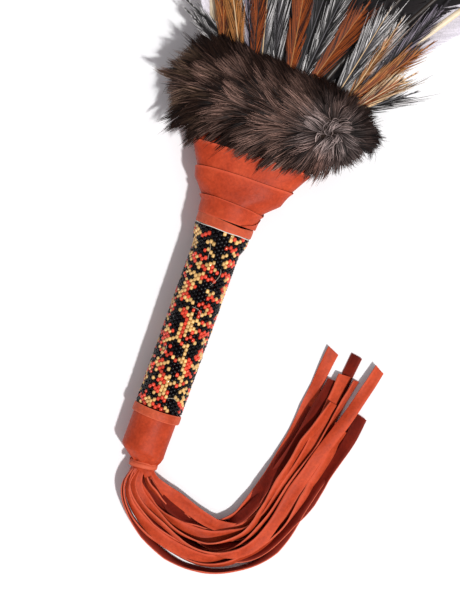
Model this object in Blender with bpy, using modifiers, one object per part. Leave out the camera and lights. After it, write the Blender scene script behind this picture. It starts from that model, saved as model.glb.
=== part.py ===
"""A hand-held feather fan: beaded and leather-wrapped handle, fur collar, fanned feathers, leather fringe.

The fan lies on its back on a surface at Z = 0, as it would on a table. +Y runs up the handle to the
feather tips, +X to the right, +Z out of the fan's face. Everything on the fan is laid out in its own
frame, whose origin is the middle of the beaded grip: the handle's axis is Y there. An empty tips that
frame by a few degrees, because the fur collar is thicker than the grip. The fringe lies on the surface,
and turns on an empty at the neck where it is tied.
"""

import math

import bmesh
import bpy
from mathutils import Vector

MM = 0.001

# Driving dimensions, in millimetres.
TILT_DEG = 2.5  # the handle rises this much towards the collar
AXIS_HEIGHT = 15.25  # the handle's axis above the surface, at the middle of the grip
CENTRE_X, CENTRE_Y = 19.41, 149.44  # middle of the fan's outline, which goes to the world's origin

CORE_R = 8.6  # wooden dowel
LINER_R = 10.2  # leather liner over the dowel
BEAD_IN_R, BEAD_OUT_R, BEAD_TOP_R = 10.5, 12.6, 14.9  # beaded sleeve, and its flared upper rows
BEAD_BOTTOM, BEAD_TOP = -48.3, 49.9
GRIP_TOP, GRIP_SHOULDER, NECK_END = -48.9, -70.5, -80.6  # leather sleeve over the lower end
UPPER_BAND, LOWER_BAND = (50.4, 55.4), (-53.2, -48.6)
UPPER_BAND_R, LOWER_BAND_R = (13.8, 15.2), (11.9, 12.9)  # inner and outer radius
WRAP_BOTTOM, WRAP_TOP = 55.8, 118.0  # leather strip wound from the neck up to the head

COLLAR_SECTIONS = 15  # across the fur collar
COLLAR_LEFT, COLLAR_RIGHT = -50.5, 57.5
# Middle of the roll above the surface: less than its half height, so its back lies flat.
COLLAR_LIFT = 20.5

FEATHERS = 11
QUILL_BASE_Y, COLLAR_TOP_Y = 101.0, 147.0
QUILL_BASE_X = (-22.5, 21.5)  # outermost quills, where they start in the head
QUILL_EXIT_X = (-40.0, 42.0)  # and where they leave the collar
FEATHER_ANGLES = (-21.0, 33.7)  # degrees from +Y towards +X
FEATHER_LENGTHS = (262.0, 290.0)  # outermost, middle
# Half width of the vane at shares of the feather's length.
FEATHER_OUTLINE = (
    (0.30, 18.0), (0.46, 23.0), (0.62, 25.5), (0.76, 25.0), (0.87, 20.5), (0.95, 12.0), (0.995, 3.0),
)
VANE_EDGE = 0.15  # half thickness at the edge of any vane
LAYER_STEP = 1.6  # each feather lies this much lower than the one nearer the middle
DROOP, DROOP_SPAN = 26.0, 270.0  # the tips bow back to the surface

HACKLE_OUTLINE = ((0.12, 2.6), (0.3, 4.2), (0.5, 4.5), (0.7, 3.5), (0.88, 1.8), (1.0, 0.4))
HACKLE_W, HACKLE_STEP = 7.4, 1.1  # height of the lowest layer of hackles, and from layer to layer
GREY, RUST, TAN = 0, 1, 2
# Root x and y, degrees from +Y towards +X, length, layer, colour.
HACKLES = [
    (-22.0, 139.0, -66.0, 41.0, 0, GREY),
    (-28.0, 135.5, -60.0, 33.0, 2, GREY),
    (-28.5, 130.0, -19.0, 62.0, 1, TAN),
    (-18.5, 130.0, -26.0, 70.0, 2, TAN),
    (-13.0, 130.0, -23.0, 74.0, 0, GREY),
    (-12.3, 130.0, -15.0, 66.0, 2, RUST),
    (-8.0, 129.0, -15.0, 72.0, 1, GREY),
    (0.0, 128.0, -17.0, 80.0, 0, GREY),
    (6.5, 128.0, -9.0, 84.0, 1, RUST),
    (9.6, 128.0, -2.0, 82.0, 0, GREY),
    (11.5, 129.0, 6.0, 76.0, 1, GREY),
    (14.8, 130.0, 16.0, 58.0, 0, RUST),
    (29.5, 126.0, 13.0, 64.0, 1, GREY),
    (34.8, 125.0, 15.0, 63.0, 0, GREY),
    (37.5, 125.0, 23.0, 86.0, 1, GREY),
    (33.0, 126.0, 35.0, 64.0, 2, RUST),
    (38.0, 126.0, 38.0, 44.0, 3, RUST),
    (36.5, 125.0, 51.0, 43.0, 0, GREY),
]

STRAND_WIDTH, STRAND_THICK = 6.6, 1.1
PIVOT = (4.6, -85.6)  # the fringe swings about the vertical through this point
PIVOT_HEIGHT = 11.2
ROOT_R, ROOT_HALF = 4.4, 4.6

# Middle line of the fringe as it lies on the surface, from the neck to the tips.
FRINGE_LINE = [
    (7.6, -89.4), (11.2, -92.4), (16.0, -95.6), (25.1, -99.9), (36.4, -103.5), (47.7, -104.4),
    (57.5, -100.8), (66.2, -94.4), (72.4, -83.8), (77.0, -70.6), (81.0, -55.8), (84.4, -40.8),
    (87.3, -25.9), (89.8, -11.2), (91.7, 3.3), (93.1, 14.9),
]
LANE_PITCH = 7.0
NECK_LANE_PITCH = 4.5
NECK_SCALE = 0.62  # the strands are gathered narrow at the neck
LAYERS = 5
LAYER_PITCH = 1.45  # one layer of strands above the next, where they lie
NECK_LAYER_PITCH = 1.1  # and where they are gathered
LOWEST_LAYER = 0.9  # middle of the lowest layer above the surface
# For each layer, from the surface up: how far its three strands (inner, middle, outer) splay at the tips.
TIP_SPLAY = [
    (-6.0, -5.0, 1.5),
    (-6.0, -1.0, 2.8),
    (-3.0, -2.6, -2.0),
    (-9.6, -2.0, 1.0),
    (-6.0, 0.0, 0.4),
]
# And how much shorter than the middle line each is.
TIP_SHORT = [
    (42.0, 15.0, 42.0),
    (39.0, 39.0, 30.0),
    (20.0, 2.0, 34.0),
    (3.0, 31.0, 41.0),
    (34.0, 15.0, 4.0),
]
# The one loose strand runs outside the rest: its distance from the middle line, at even steps.
LOOSE_OFFSET = (11.0, 15.5, 19.5, 18.5, 15.6, 16.4)
LOOSE_SHORT = 39.0
LOOSE_FROM_SCALE = 0.72  # it shows from where the gathered strands have opened out this far

SIDES = 32


def clear_scene():
    for obj in list(bpy.data.objects):
        bpy.data.objects.remove(obj, do_unlink=True)


def collection(name):
    found = bpy.data.collections.new(name)
    bpy.context.scene.collection.children.link(found)
    return found


def material(name, color, roughness, metallic=0.0):
    mat = bpy.data.materials.new(name)
    mat.use_nodes = True
    shader = mat.node_tree.nodes["Principled BSDF"]
    shader.inputs["Base Color"].default_value = (*color, 1.0)
    shader.inputs["Roughness"].default_value = roughness
    shader.inputs["Metallic"].default_value = metallic
    return mat


def empty(name, location, parent=None):
    obj = bpy.data.objects.new(name, None)
    obj.location = location
    obj.parent = parent
    PARTS.objects.link(obj)
    return obj


def add_object(name, data, mat, parent, location=(0.0, 0.0, 0.0)):
    """Links a piece whose points are given about its own location, in millimetres in its parent's frame."""
    obj = bpy.data.objects.new(name, data)
    obj.location = Vector(location) * MM
    obj.parent = parent
    data.materials.append(mat)
    PARTS.objects.link(obj)
    return obj


def smooth(value):
    value = min(1.0, max(0.0, value))
    return value * value * (3.0 - 2.0 * value)


def lerp(a, b, t):
    return a + (b - a) * t


def table_at(table, position):
    """Values of a table of rows (position, value, ...), read between its rows."""
    for low, high in zip(table, table[1:]):
        if position <= high[0]:
            t = (position - low[0]) / (high[0] - low[0])
            return [lerp(a, b, max(0.0, t)) for a, b in zip(low[1:], high[1:])]
    return list(table[-1][1:])


def ring(centre, half_a, half_b, exponent, count):
    """A rounded outline in the XZ plane: a circle at exponent 2, squarer above that."""
    points = []
    for i in range(count):
        angle = 2.0 * math.pi * i / count
        c, s = math.cos(angle), math.sin(angle)
        x = half_a * math.copysign(abs(c) ** (2.0 / exponent), c)
        z = half_b * math.copysign(abs(s) ** (2.0 / exponent), s)
        points.append(Vector((centre[0] + x, centre[1], centre[2] + z)))
    return points


def loft(name, rings, base=(0.0, 0.0, 0.0), closed=False):
    """A skin over outlines with the same number of points. closed joins the last outline to the first, as
    in a tube's wall."""
    bm = bmesh.new()
    base = Vector(base)
    rows = [[bm.verts.new((point - base) * MM) for point in outline] for outline in rings]
    pairs = list(zip(rows, rows[1:]))
    if closed:
        pairs.append((rows[-1], rows[0]))
    for low, high in pairs:
        for i in range(len(low)):
            j = (i + 1) % len(low)
            bm.faces.new((low[i], low[j], high[j], high[i]))
    if not closed:
        bm.faces.new(reversed(rows[0]))
        bm.faces.new(rows[-1])
    bmesh.ops.recalc_face_normals(bm, faces=bm.faces)
    mesh = bpy.data.meshes.new(name)
    bm.to_mesh(mesh)
    bm.free()
    mesh.shade_smooth()
    mesh.set_sharp_from_angle(angle=math.radians(40.0))
    return mesh


def turned(name, profile, mat, parent, y):
    """A ring turned about the handle's axis. The profile is (radius, distance up the handle from y), all
    round the ring's section."""
    mesh = bpy.data.meshes.new(name)
    points = [(radius * MM, 0.0, along * MM) for radius, along in profile]
    edges = [(i, (i + 1) % len(points)) for i in range(len(points))]
    mesh.from_pydata(points, edges, [])
    obj = add_object(name, mesh, mat, parent, (0.0, y, 0.0))
    obj.rotation_euler = (math.radians(-90.0), 0.0, 0.0)
    screw = obj.modifiers.new("turn", "SCREW")
    screw.steps = screw.render_steps = SIDES
    screw.use_merge_vertices = True
    screw.merge_threshold = 0.00001
    screw.use_smooth_shade = True
    return obj


def sleeve(name, outer, inner, mat, parent, centre_table):
    """A wall between two stacks of outlines. Each row is (y, half width, half height), and each row of
    centre_table is (y, middle x, middle z, squareness)."""
    rings = []
    for y, half_width, half_height in outer + list(reversed(inner)):
        x, z, power = table_at(centre_table, y)
        rings.append(ring((x, y, z), half_width, half_height, power, SIDES))
    base = (0.0, outer[0][0], 0.0)
    return add_object(name, loft(name, rings, base, closed=True), mat, parent, base)


# ---------------------------------------------------------------- handle and head

def make_handle_core(parent):
    """One piece of carved wood: a dowel that flares into a flat paddle, on which the quills lie."""
    rows = [  # y, half width, lower face, upper face, squareness
        (-71.2, 7.9, -7.9, 7.9, 2.0),
        (-70.4, CORE_R, -CORE_R, CORE_R, 2.0),
        (55.0, CORE_R, -CORE_R, CORE_R, 2.0),
        (60.0, 11.0, -10.6, 10.6, 2.1),
        (70.0, 17.6, -10.6, 10.6, 2.4),
        (80.0, 22.2, -9.6, 9.2, 2.8),
        (92.0, 27.8, -8.4, 4.0, 3.4),
        (100.0, 30.0, -6.0, -0.8, 4.0),
        (119.0, 33.0, -5.6, -0.9, 4.0),
    ]
    paddle_x = 0.6  # the flared end sits this far to the right of the axis
    rings = []
    for y, half, low, high, power in rows:
        centre = (paddle_x * smooth((y - 55.0) / 40.0), y, (low + high) / 2)
        rings.append(ring(centre, half, (high - low) / 2, power, 24))
    base = (0.0, rows[0][0], 0.0)
    return add_object("handle_core", loft("handle_core", rings, base), WOOD, parent, base)


def make_handle_liner(parent):
    length = 55.0 + 70.0
    profile = [(LINER_R, length), (LINER_R, 0.0), (CORE_R + 0.3, 0.0), (CORE_R + 0.3, length)]
    return turned("handle_liner", profile, LEATHER, parent, -70.0)


def make_beaded_sleeve(parent):
    """The outer shape of the beadwork: a straight tube whose uppermost rows flare over the wrap's end."""
    length = BEAD_TOP - BEAD_BOTTOM
    profile = [
        (BEAD_TOP_R - 0.6, length),
        (BEAD_TOP_R, length - 1.0),
        (BEAD_TOP_R - 0.2, length - 4.0),
        (BEAD_OUT_R + 0.4, length - 8.5),
        (BEAD_OUT_R, length - 12.0),
        (BEAD_OUT_R, 1.0),
        (BEAD_OUT_R - 0.5, 0.0),
        (BEAD_IN_R, 0.0),
        (BEAD_IN_R, length),
    ]
    return turned("beaded_sleeve", profile, BEADS, parent, BEAD_BOTTOM)


def make_band(name, radii, span, parent):
    """A narrow strip of leather glued around the handle, with its outer edges cut back."""
    inner, outer = radii
    height = span[1] - span[0]
    edge = 0.5
    profile = [
        (outer - edge, height),
        (outer, height - edge),
        (outer, edge),
        (outer - edge, 0.0),
        (inner, 0.0),
        (inner, height),
    ]
    return turned(name, profile, LEATHER, parent, span[0])


def make_grip_sleeve(parent):
    """The leather over the handle's lower end, drawn in below the dowel to the narrow neck."""
    centre = [
        (-81.0, 2.6, -0.6, 2.2),
        (-76.6, 2.4, -0.5, 2.2),
        (-73.4, 0.6, -0.2, 2.1),
        (-70.0, -0.2, 0.0, 2.0),
        (-48.0, 0.0, 0.0, 2.0),
    ]
    outer = [
        (GRIP_TOP, 11.5, 11.5),
        (-60.0, 11.6, 11.6),
        (GRIP_SHOULDER, 11.5, 11.5),
        (-72.6, 11.0, 10.9),
        (-75.0, 9.0, 8.4),
        (-77.0, 7.0, 5.9),
        (-77.8, 6.3, 5.2),
        (NECK_END, 6.2, 5.1),
    ]
    inner = [
        (GRIP_TOP, 10.5, 10.5),
        (-71.6, 10.4, 10.4),
        (-74.6, 7.2, 6.6),
        (-77.4, 4.6, 3.6),
        (NECK_END, 4.4, 3.4),
    ]
    return sleeve("grip_sleeve", outer, inner, LEATHER, parent, centre)


def make_neck_tie(parent):
    """The thong wound around the neck."""
    centre = [(-81.0, 2.6, -0.6, 2.2), (-77.0, 2.5, -0.5, 2.2)]
    outer = [(-77.9, 7.2, 6.1), (-78.4, 7.6, 6.5), (-80.2, 7.6, 6.5), (-80.7, 7.2, 6.1)]
    inner = [(-77.9, 6.6, 5.5), (-80.7, 6.6, 5.5)]
    return sleeve("neck_tie", outer, inner, LEATHER, parent, centre)


def make_head_wrap(parent):
    """A leather strip wound in turns up the flaring head. Its outline steps a little at each turn."""
    centre = [
        (55.0, 0.0, 0.0, 2.0),
        (66.0, 0.2, 0.0, 2.1),
        (80.0, 0.8, 0.0, 2.6),
        (95.0, 0.8, 0.0, 3.2),
        (118.0, 1.0, 0.0, 3.6),
    ]
    outer = [
        (WRAP_BOTTOM, 14.7, 14.4),
        (62.0, 15.1, 14.3),
        (63.6, 15.8, 14.1),
        (64.1, 16.9, 14.9),
        (71.5, 23.2, 13.8),
        (76.9, 24.6, 12.7),
        (77.5, 25.8, 13.4),
        (83.5, 28.2, 12.3),
        (90.5, 31.2, 11.3),
        (91.1, 32.4, 12.0),
        (104.0, 36.6, 10.5),
        (WRAP_TOP, 38.6, 9.5),
    ]
    inner = [
        (WRAP_BOTTOM, 12.9, 12.6),
        (62.0, 13.6, 12.6),
        (70.0, 20.0, 12.0),
        (78.0, 23.2, 11.2),
        (91.0, 30.2, 9.8),
        (104.0, 34.6, 8.7),
        (WRAP_TOP, 36.6, 7.9),
    ]
    return sleeve("head_wrap", outer, inner, LEATHER, parent, centre)


def make_quill_binding(parent):
    """Sinew wound over the quills and the paddle, hidden by the wrap and the collar."""
    centre = [(100.0, 0.6, -1.0, 4.0), (120.0, 0.6, -1.0, 4.0)]
    outer = [(106.0, 34.0, 6.1), (113.0, 34.6, 6.1)]
    inner = [(106.0, 33.0, 5.2), (113.0, 33.6, 5.2)]
    return sleeve("quill_binding", outer, inner, SINEW, parent, centre)


# ---------------------------------------------------------------- fur collar

def collar_section(t):
    """Middle, half length (along Y) and half height of the collar at t: 0 is its left end, 1 its right."""
    return table_at([
        (0.0, 117.5, 2.5, 5.0),
        (0.03, 118.0, 10.0, 12.0),
        (0.08, 118.6, 19.0, 17.5),
        (0.16, 119.2, 24.6, 21.2),
        (0.30, 119.0, 26.4, 23.4),
        (0.50, 117.2, 26.6, 24.0),
        (0.70, 116.4, 25.2, 23.8),
        (0.84, 117.6, 21.4, 22.0),
        (0.93, 119.2, 16.0, 17.6),
        (0.98, 119.8, 9.6, 11.6),
        (1.0, 120.0, 2.5, 5.0),
    ], t)


def make_fur_collar(parent, fan_frame):
    """A thick roll of fur around the head, flat where it rests, with a slot for the head and the feathers."""
    rings = []
    for i in range(COLLAR_SECTIONS):
        t = 0.5 - 0.5 * math.cos(math.pi * i / (COLLAR_SECTIONS - 1))
        middle, half, height = collar_section(t)
        x = lerp(COLLAR_LEFT, COLLAR_RIGHT, t)
        outline = []
        for point in ring((0.0, 0.0, 0.0), half, height, 2.3, 24):
            outline.append(Vector((x, middle + point.x, max(0.0, COLLAR_LIFT + point.z))))
        rings.append(outline)
    base = (3.5, 118.0, 0.0)
    collar = add_object("fur_collar", loft("fur_collar", rings, base), FUR, parent, base)

    rows = [  # y, half width, lower face, upper face, middle x
        (70.0, 29.0, -13.5, 13.5, 0.8),
        (84.0, 30.5, -13.0, 13.0, 0.8),
        (90.0, 32.4, -12.5, 12.5, 0.8),
        (104.0, 37.2, -11.1, 11.1, 0.9),
        (WRAP_TOP + 0.4, 39.4, -10.0, 10.0, 1.0),
        (126.0, 47.0, -9.4, 11.6, 2.0),
        (134.0, 60.0, -9.0, 12.4, 2.5),
        (146.0, 90.0, -8.6, 12.4, 3.0),
        (158.0, 110.0, -8.6, 12.4, 3.0),
    ]
    rings = []
    for y, half, low, high, x in rows:
        rings.append(ring((x, y, (low + high) / 2), half, (high - low) / 2, 3.6, 32))
    cutter = bpy.data.objects.new("collar_slot", loft("collar_slot", rings))
    cutter.parent = fan_frame
    cutter.hide_render = True
    cutter.display_type = "WIRE"
    CUTTERS.objects.link(cutter)
    cut = collar.modifiers.new("slot", "BOOLEAN")
    cut.operation = "DIFFERENCE"
    cut.solver = "EXACT"
    cut.object = cutter
    return collar


# ---------------------------------------------------------------- feathers

def fan_middle_x(y):
    """Where the middle feather runs."""
    return 1.0 + (y - COLLAR_TOP_Y) * math.tan(math.radians(sum(FEATHER_ANGLES) / 2))


def droop(x, y):
    """How far the fan has sunk below the head's plane, bowing to the tips and a little to the sides."""
    along = max(0.0, y - 120.0) / DROOP_SPAN
    return DROOP * along * along + 6.0 * (x / 180.0) ** 2 * smooth(along * 3.0)


def feather_height(layer, x, y):
    """Height of a feather's mid-plane above the handle's axis."""
    return 1.6 + layer * smooth((y - 116.0) / 24.0) - droop(x, y)


def hackle_height(layer, x, y):
    """The hackles follow the upper side of the main feathers, which steps down away from the middle."""
    beside = max(0.0, abs(x - fan_middle_x(y)) - 14.0)
    return HACKLE_W + layer - 0.15 * beside - droop(x, y)


def quill_line(base_x, exit_x, angle, length):
    """Middle line of a main feather: from the head, out of the collar's mouth, then nearly straight on."""
    start = Vector((base_x, QUILL_BASE_Y))
    leave = Vector((exit_x, COLLAR_TOP_Y))
    way = Vector((math.sin(angle), math.cos(angle)))
    span = (leave - start).length
    pull = start.lerp(leave, 0.5) * 0.35 + (leave - way * span * 0.5) * 0.65

    def at(distance):
        if distance < span:
            t = distance / span
            return start * (1 - t) ** 2 + pull * 2 * t * (1 - t) + leave * t * t
        beyond = distance - span
        side = Vector((way.y, -way.x))
        bow = 5.0 * math.copysign(1.0, exit_x - 1.0) * min(1.0, abs(exit_x - 1.0) / 30.0)
        return leave + way * beyond + side * bow * (beyond / (length - span)) ** 2

    return at


def feather_rings(at, stations, height):
    """Outlines of a feather. A station is (distance, half width, half thickness at the edge, shaft's half
    width, shaft's half height); height gives the mid-plane over a point."""
    rings = []
    for distance, half, edge, shaft, rise in stations:
        middle = at(distance)
        ahead = (at(distance + 0.5) - at(distance - 0.5 if distance > 0.5 else distance)).normalized()
        side = Vector((ahead.y, -ahead.x))
        outline = []
        for across, up in ((half, edge), (shaft, rise), (-shaft, rise), (-half, edge),
                           (-half, -edge), (-shaft, -rise), (shaft, -rise), (half, -edge)):
            place = middle + side * across
            outline.append(Vector((place.x, place.y, height(place.x, place.y) + up)))
        rings.append(outline)
    return rings


def make_feathers(parent):
    """The fanned main feathers: the middle one on top, each further out a step lower."""
    made = []
    middle = (FEATHERS - 1) / 2
    for i in range(FEATHERS):
        t = i / (FEATHERS - 1)
        # The right side lies between the left side's steps, so no two feathers share a height.
        beside = abs(i - middle) + (0.5 if i > middle else 0.0)
        layer = (middle / 2 - beside) * LAYER_STEP
        length = lerp(FEATHER_LENGTHS[0], FEATHER_LENGTHS[1], math.cos((t - 0.5) * math.pi))
        angle = math.radians(lerp(*FEATHER_ANGLES, t))
        at = quill_line(lerp(*QUILL_BASE_X, t), lerp(*QUILL_EXIT_X, t), angle, length)
        stations = [
            (0.0, 0.8, 0.4, 0.5, 0.8),
            (3.0, 1.7, 0.8, 0.9, 1.6),
            (20.0, 1.7, 0.8, 0.9, 1.6),
            (38.0, 2.2, 0.3, 1.1, 0.9),
            (46.0, 6.0, VANE_EDGE, 1.1, 0.7),
            (56.0, 13.0, VANE_EDGE, 1.1, 0.62),
        ]
        for part, half in FEATHER_OUTLINE:
            stations.append((part * length, half, VANE_EDGE, lerp(1.0, 0.4, part), lerp(0.62, 0.3, part)))
        name = f"feather_{i + 1:02d}"
        rings = feather_rings(at, stations, lambda x, y, layer=layer: feather_height(layer, x, y))
        base = (lerp(*QUILL_BASE_X, t), QUILL_BASE_Y, 0.0)
        mat = WHITE_FEATHER if i in (0, FEATHERS - 1) else BLACK_FEATHER
        made.append(add_object(name, loft(name, rings, base), mat, parent, base))
    return made


def make_hackles(parent):
    """Slim pointed feathers laid over the base of the fan in layers."""
    made = []
    for number, (x, y, turn, length, layer, colour) in enumerate(HACKLES, 1):
        angle = math.radians(turn)
        start = Vector((x, y))
        way = Vector((math.sin(angle), math.cos(angle)))
        stations = [(0.0, 0.6, 0.2, 0.4, 0.35)]
        for part, half in HACKLE_OUTLINE:
            stations.append((part * length, half, VANE_EDGE, 0.4, 0.4))
        name = f"hackle_{number:02d}"
        rings = feather_rings(lambda d, start=start, way=way: start + way * d, stations,
                              lambda x, y, layer=layer: hackle_height(layer * HACKLE_STEP, x, y))
        base = (start.x, start.y, 0.0)
        made.append(add_object(name, loft(name, rings, base), HACKLE_COLORS[colour], parent, base))
    return made


# ---------------------------------------------------------------- fringe

def smooth_line(points, per_span):
    """Points of a smooth curve through the given ones."""
    points = [Vector(point) for point in points]
    ends = [points[0] * 2 - points[1]] + points + [points[-1] * 2 - points[-2]]
    line = []
    for a, b, c, d in zip(ends, ends[1:], ends[2:], ends[3:]):
        for step in range(per_span):
            t = step / per_span
            line.append(0.5 * (2 * b + (c - a) * t + (2 * a - 5 * b + 4 * c - d) * t * t
                               + (3 * b - a - 3 * c + d) * t ** 3))
    line.append(points[-1])
    return line


def lengths_along(line):
    total = [0.0]
    for a, b in zip(line, line[1:]):
        total.append(total[-1] + (b - a).length)
    return total


def steps_at(values, t):
    """Reads evenly spaced values smoothly at t from 0 to 1."""
    place = min(0.9999, max(0.0, t)) * (len(values) - 1)
    index = int(place)
    return lerp(values[index], values[index + 1], smooth(place - index))


def strand_route(offset_at, layer, short):
    """Points (x, y, z, width scale) of one strand, beside the fringe's middle line on its own layer."""
    line = smooth_line(FRINGE_LINE, 3)
    along = lengths_along(line)
    total = along[-1] - short
    route = []
    for i, point in enumerate(line):
        if along[i] > total:
            break
        ahead = (line[min(i + 1, len(line) - 1)] - line[max(i - 1, 0)]).normalized()
        outward = Vector((ahead.y, -ahead.x))
        place = point + outward * offset_at(along[i] / along[-1])
        down = smooth(along[i] / 38.0)
        neck_z = PIVOT_HEIGHT + (layer - (LAYERS - 1) / 2) * NECK_LAYER_PITCH
        lying_z = LOWEST_LAYER + layer * LAYER_PITCH
        scale = lerp(NECK_SCALE, 1.0, smooth(along[i] / 24.0))
        route.append((place.x, place.y, lerp(neck_z, lying_z, down), scale))
    return route


def make_strand(name, route, profile, parent):
    """A flat leather strip along its route."""
    curve = bpy.data.curves.new(name, "CURVE")
    curve.dimensions = "3D"
    curve.twist_mode = "Z_UP"
    curve.bevel_mode = "OBJECT"
    curve.bevel_object = profile
    curve.use_fill_caps = True
    spline = curve.splines.new("POLY")
    spline.points.add(len(route) - 1)
    for point, (x, y, z, scale) in zip(spline.points, route):
        point.co = ((x - PIVOT[0]) * MM, (y - PIVOT[1]) * MM, (z - PIVOT_HEIGHT) * MM, 1.0)
        point.radius = scale
    return add_object(name, curve, LEATHER, parent)


def make_strands(parent):
    """Fifteen strands in five layers of three, and a loose one that bows out beyond them."""
    outline = bpy.data.curves.new("strand_section", "CURVE")
    outline.dimensions = "2D"
    outline.fill_mode = "NONE"
    spline = outline.splines.new("POLY")
    spline.points.add(3)
    half, thick = STRAND_WIDTH / 2 * MM, STRAND_THICK / 2 * MM
    corners = ((half, thick), (half, -thick), (-half, -thick), (-half, thick))
    for point, place in zip(spline.points, corners):
        point.co = (*place, 0.0, 1.0)
    spline.use_cyclic_u = True
    profile = bpy.data.objects.new("strand_section", outline)
    profile.hide_render = True
    profile.display_type = "WIRE"
    CUTTERS.objects.link(profile)

    made = []
    for layer in range(LAYERS):
        for lane in range(3):
            splay = TIP_SPLAY[layer][lane]

            def offset_at(t, lane=lane, splay=splay):
                pitch = lerp(NECK_LANE_PITCH, LANE_PITCH, smooth(t * 9.0))
                return (lane - 1) * pitch + splay * smooth((t - 0.45) / 0.55)

            route = strand_route(offset_at, layer, TIP_SHORT[layer][lane])
            made.append(make_strand(f"strand_{len(made) + 1:02d}", route, profile, parent))
    route = strand_route(lambda t: steps_at(LOOSE_OFFSET, t), 0, LOOSE_SHORT)
    first = next(i for i, (x, y, z, scale) in enumerate(route) if scale > LOOSE_FROM_SCALE)
    made.append(make_strand(f"strand_{len(made) + 1:02d}", route[first:], profile, parent))
    return made


def make_fringe_root(parent):
    """The gathered top of the fringe, below the tie, turned about the swing axis."""
    mesh = bpy.data.meshes.new("fringe_root")
    round_off = 1.2
    profile = [
        (0.0, ROOT_HALF),
        (ROOT_R - round_off, ROOT_HALF),
        (ROOT_R, ROOT_HALF - round_off),
        (ROOT_R, -ROOT_HALF + round_off),
        (ROOT_R - round_off, -ROOT_HALF),
        (0.0, -ROOT_HALF),
    ]
    points = [(radius * MM, 0.0, z * MM) for radius, z in profile]
    mesh.from_pydata(points, [(i, i + 1) for i in range(len(points) - 1)], [])
    obj = add_object("fringe_root", mesh, LEATHER, parent)
    screw = obj.modifiers.new("turn", "SCREW")
    screw.steps = screw.render_steps = 24
    screw.use_merge_vertices = True
    screw.merge_threshold = 0.00001
    return obj


clear_scene()
PARTS = collection("feather_fan")
CUTTERS = collection("cutters")

WOOD = material("wood", (0.45, 0.28, 0.15), 0.6)
LEATHER = material("leather", (0.50, 0.10, 0.045), 0.55)
BEADS = material("beads", (0.02, 0.02, 0.02), 0.2)
FUR = material("fur", (0.055, 0.036, 0.028), 0.7)
SINEW = material("sinew", (0.55, 0.42, 0.25), 0.6)
WHITE_FEATHER = material("white_feather", (0.80, 0.78, 0.80), 0.6)
BLACK_FEATHER = material("black_feather", (0.012, 0.012, 0.014), 0.45)
HACKLE_COLORS = [
    material("grey_hackle", (0.45, 0.45, 0.44), 0.5),
    material("rust_hackle", (0.38, 0.15, 0.04), 0.5),
    material("tan_hackle", (0.55, 0.40, 0.25), 0.5),
]

origin = empty("origin", Vector((-CENTRE_X, -CENTRE_Y, 0.0)) * MM)
fan_frame = empty("fan_frame", Vector((0.0, 0.0, AXIS_HEIGHT)) * MM, origin)
fan_frame.rotation_euler = (math.radians(TILT_DEG), 0.0, 0.0)
fringe_pivot = empty("fringe_pivot", Vector((*PIVOT, PIVOT_HEIGHT)) * MM, origin)

make_handle_core(fan_frame)
make_handle_liner(fan_frame)
make_beaded_sleeve(fan_frame)
make_band("lower_band", LOWER_BAND_R, LOWER_BAND, fan_frame)
make_band("upper_band", UPPER_BAND_R, UPPER_BAND, fan_frame)
make_grip_sleeve(fan_frame)
make_neck_tie(fan_frame)
make_head_wrap(fan_frame)
make_quill_binding(fan_frame)
make_fur_collar(origin, fan_frame)
make_feathers(fan_frame)
make_hackles(fan_frame)
make_fringe_root(fringe_pivot)
make_strands(fringe_pivot)
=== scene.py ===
"""Looks of the feather fan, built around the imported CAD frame: leather, beadwork, fur, feathers and fringe.

Lengths are in millimetres in the fan's own frame (x across, y up the handle from the middle of the beaded
grip, z out of the fan's face) until fan() or lying() turns them into metres in the row frame.
"""

import math
from functools import partial
from types import SimpleNamespace

import bpy
import numpy as np
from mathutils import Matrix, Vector


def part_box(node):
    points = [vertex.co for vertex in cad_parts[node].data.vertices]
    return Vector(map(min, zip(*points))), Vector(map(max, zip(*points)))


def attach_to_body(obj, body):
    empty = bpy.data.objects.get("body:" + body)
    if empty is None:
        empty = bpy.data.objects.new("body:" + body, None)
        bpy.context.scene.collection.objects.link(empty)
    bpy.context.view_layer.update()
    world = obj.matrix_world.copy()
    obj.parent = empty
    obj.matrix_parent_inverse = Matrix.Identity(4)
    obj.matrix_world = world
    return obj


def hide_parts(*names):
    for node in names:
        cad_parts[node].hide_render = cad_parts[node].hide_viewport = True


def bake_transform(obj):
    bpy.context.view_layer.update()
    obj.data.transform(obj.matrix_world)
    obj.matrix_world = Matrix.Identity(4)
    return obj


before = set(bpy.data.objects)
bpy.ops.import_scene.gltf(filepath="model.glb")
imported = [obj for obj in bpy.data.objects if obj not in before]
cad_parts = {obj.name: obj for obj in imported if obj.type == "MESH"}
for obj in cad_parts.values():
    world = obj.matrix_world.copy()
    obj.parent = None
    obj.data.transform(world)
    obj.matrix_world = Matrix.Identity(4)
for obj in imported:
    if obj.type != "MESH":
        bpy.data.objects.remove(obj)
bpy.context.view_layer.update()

MM = 0.001
RNG = np.random.default_rng(7)

# ---------------------------------------------------------------- the fan's frame


def middle_of(node):
    low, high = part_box(node)
    return np.array((low + high) / 2)


LOWER_BAND_Y, UPPER_BAND_Y = -50.9, 52.9  # the bands' middles, which lie on the handle's axis
LOWER_BAND, UPPER_BAND = middle_of("lower_band"), middle_of("upper_band")
ALONG = (UPPER_BAND - LOWER_BAND) / np.linalg.norm(UPPER_BAND - LOWER_BAND)
ACROSS = np.array((1.0, 0.0, 0.0))
FACING = np.cross(ACROSS, ALONG)
MIDDLE = LOWER_BAND + (UPPER_BAND - LOWER_BAND) * (-LOWER_BAND_Y / (UPPER_BAND_Y - LOWER_BAND_Y))
PIVOT = (4.6, -85.6)  # the point of the fan frame that lying() puts on the middle of the fringe root
ROOT = middle_of("fringe_root")


def fan(points):
    """Fan-frame millimetres to the row frame."""
    p = np.asarray(points, float)
    return MIDDLE + MM * (p[..., :1] * ACROSS + p[..., 1:2] * ALONG + p[..., 2:] * FACING)


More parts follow.
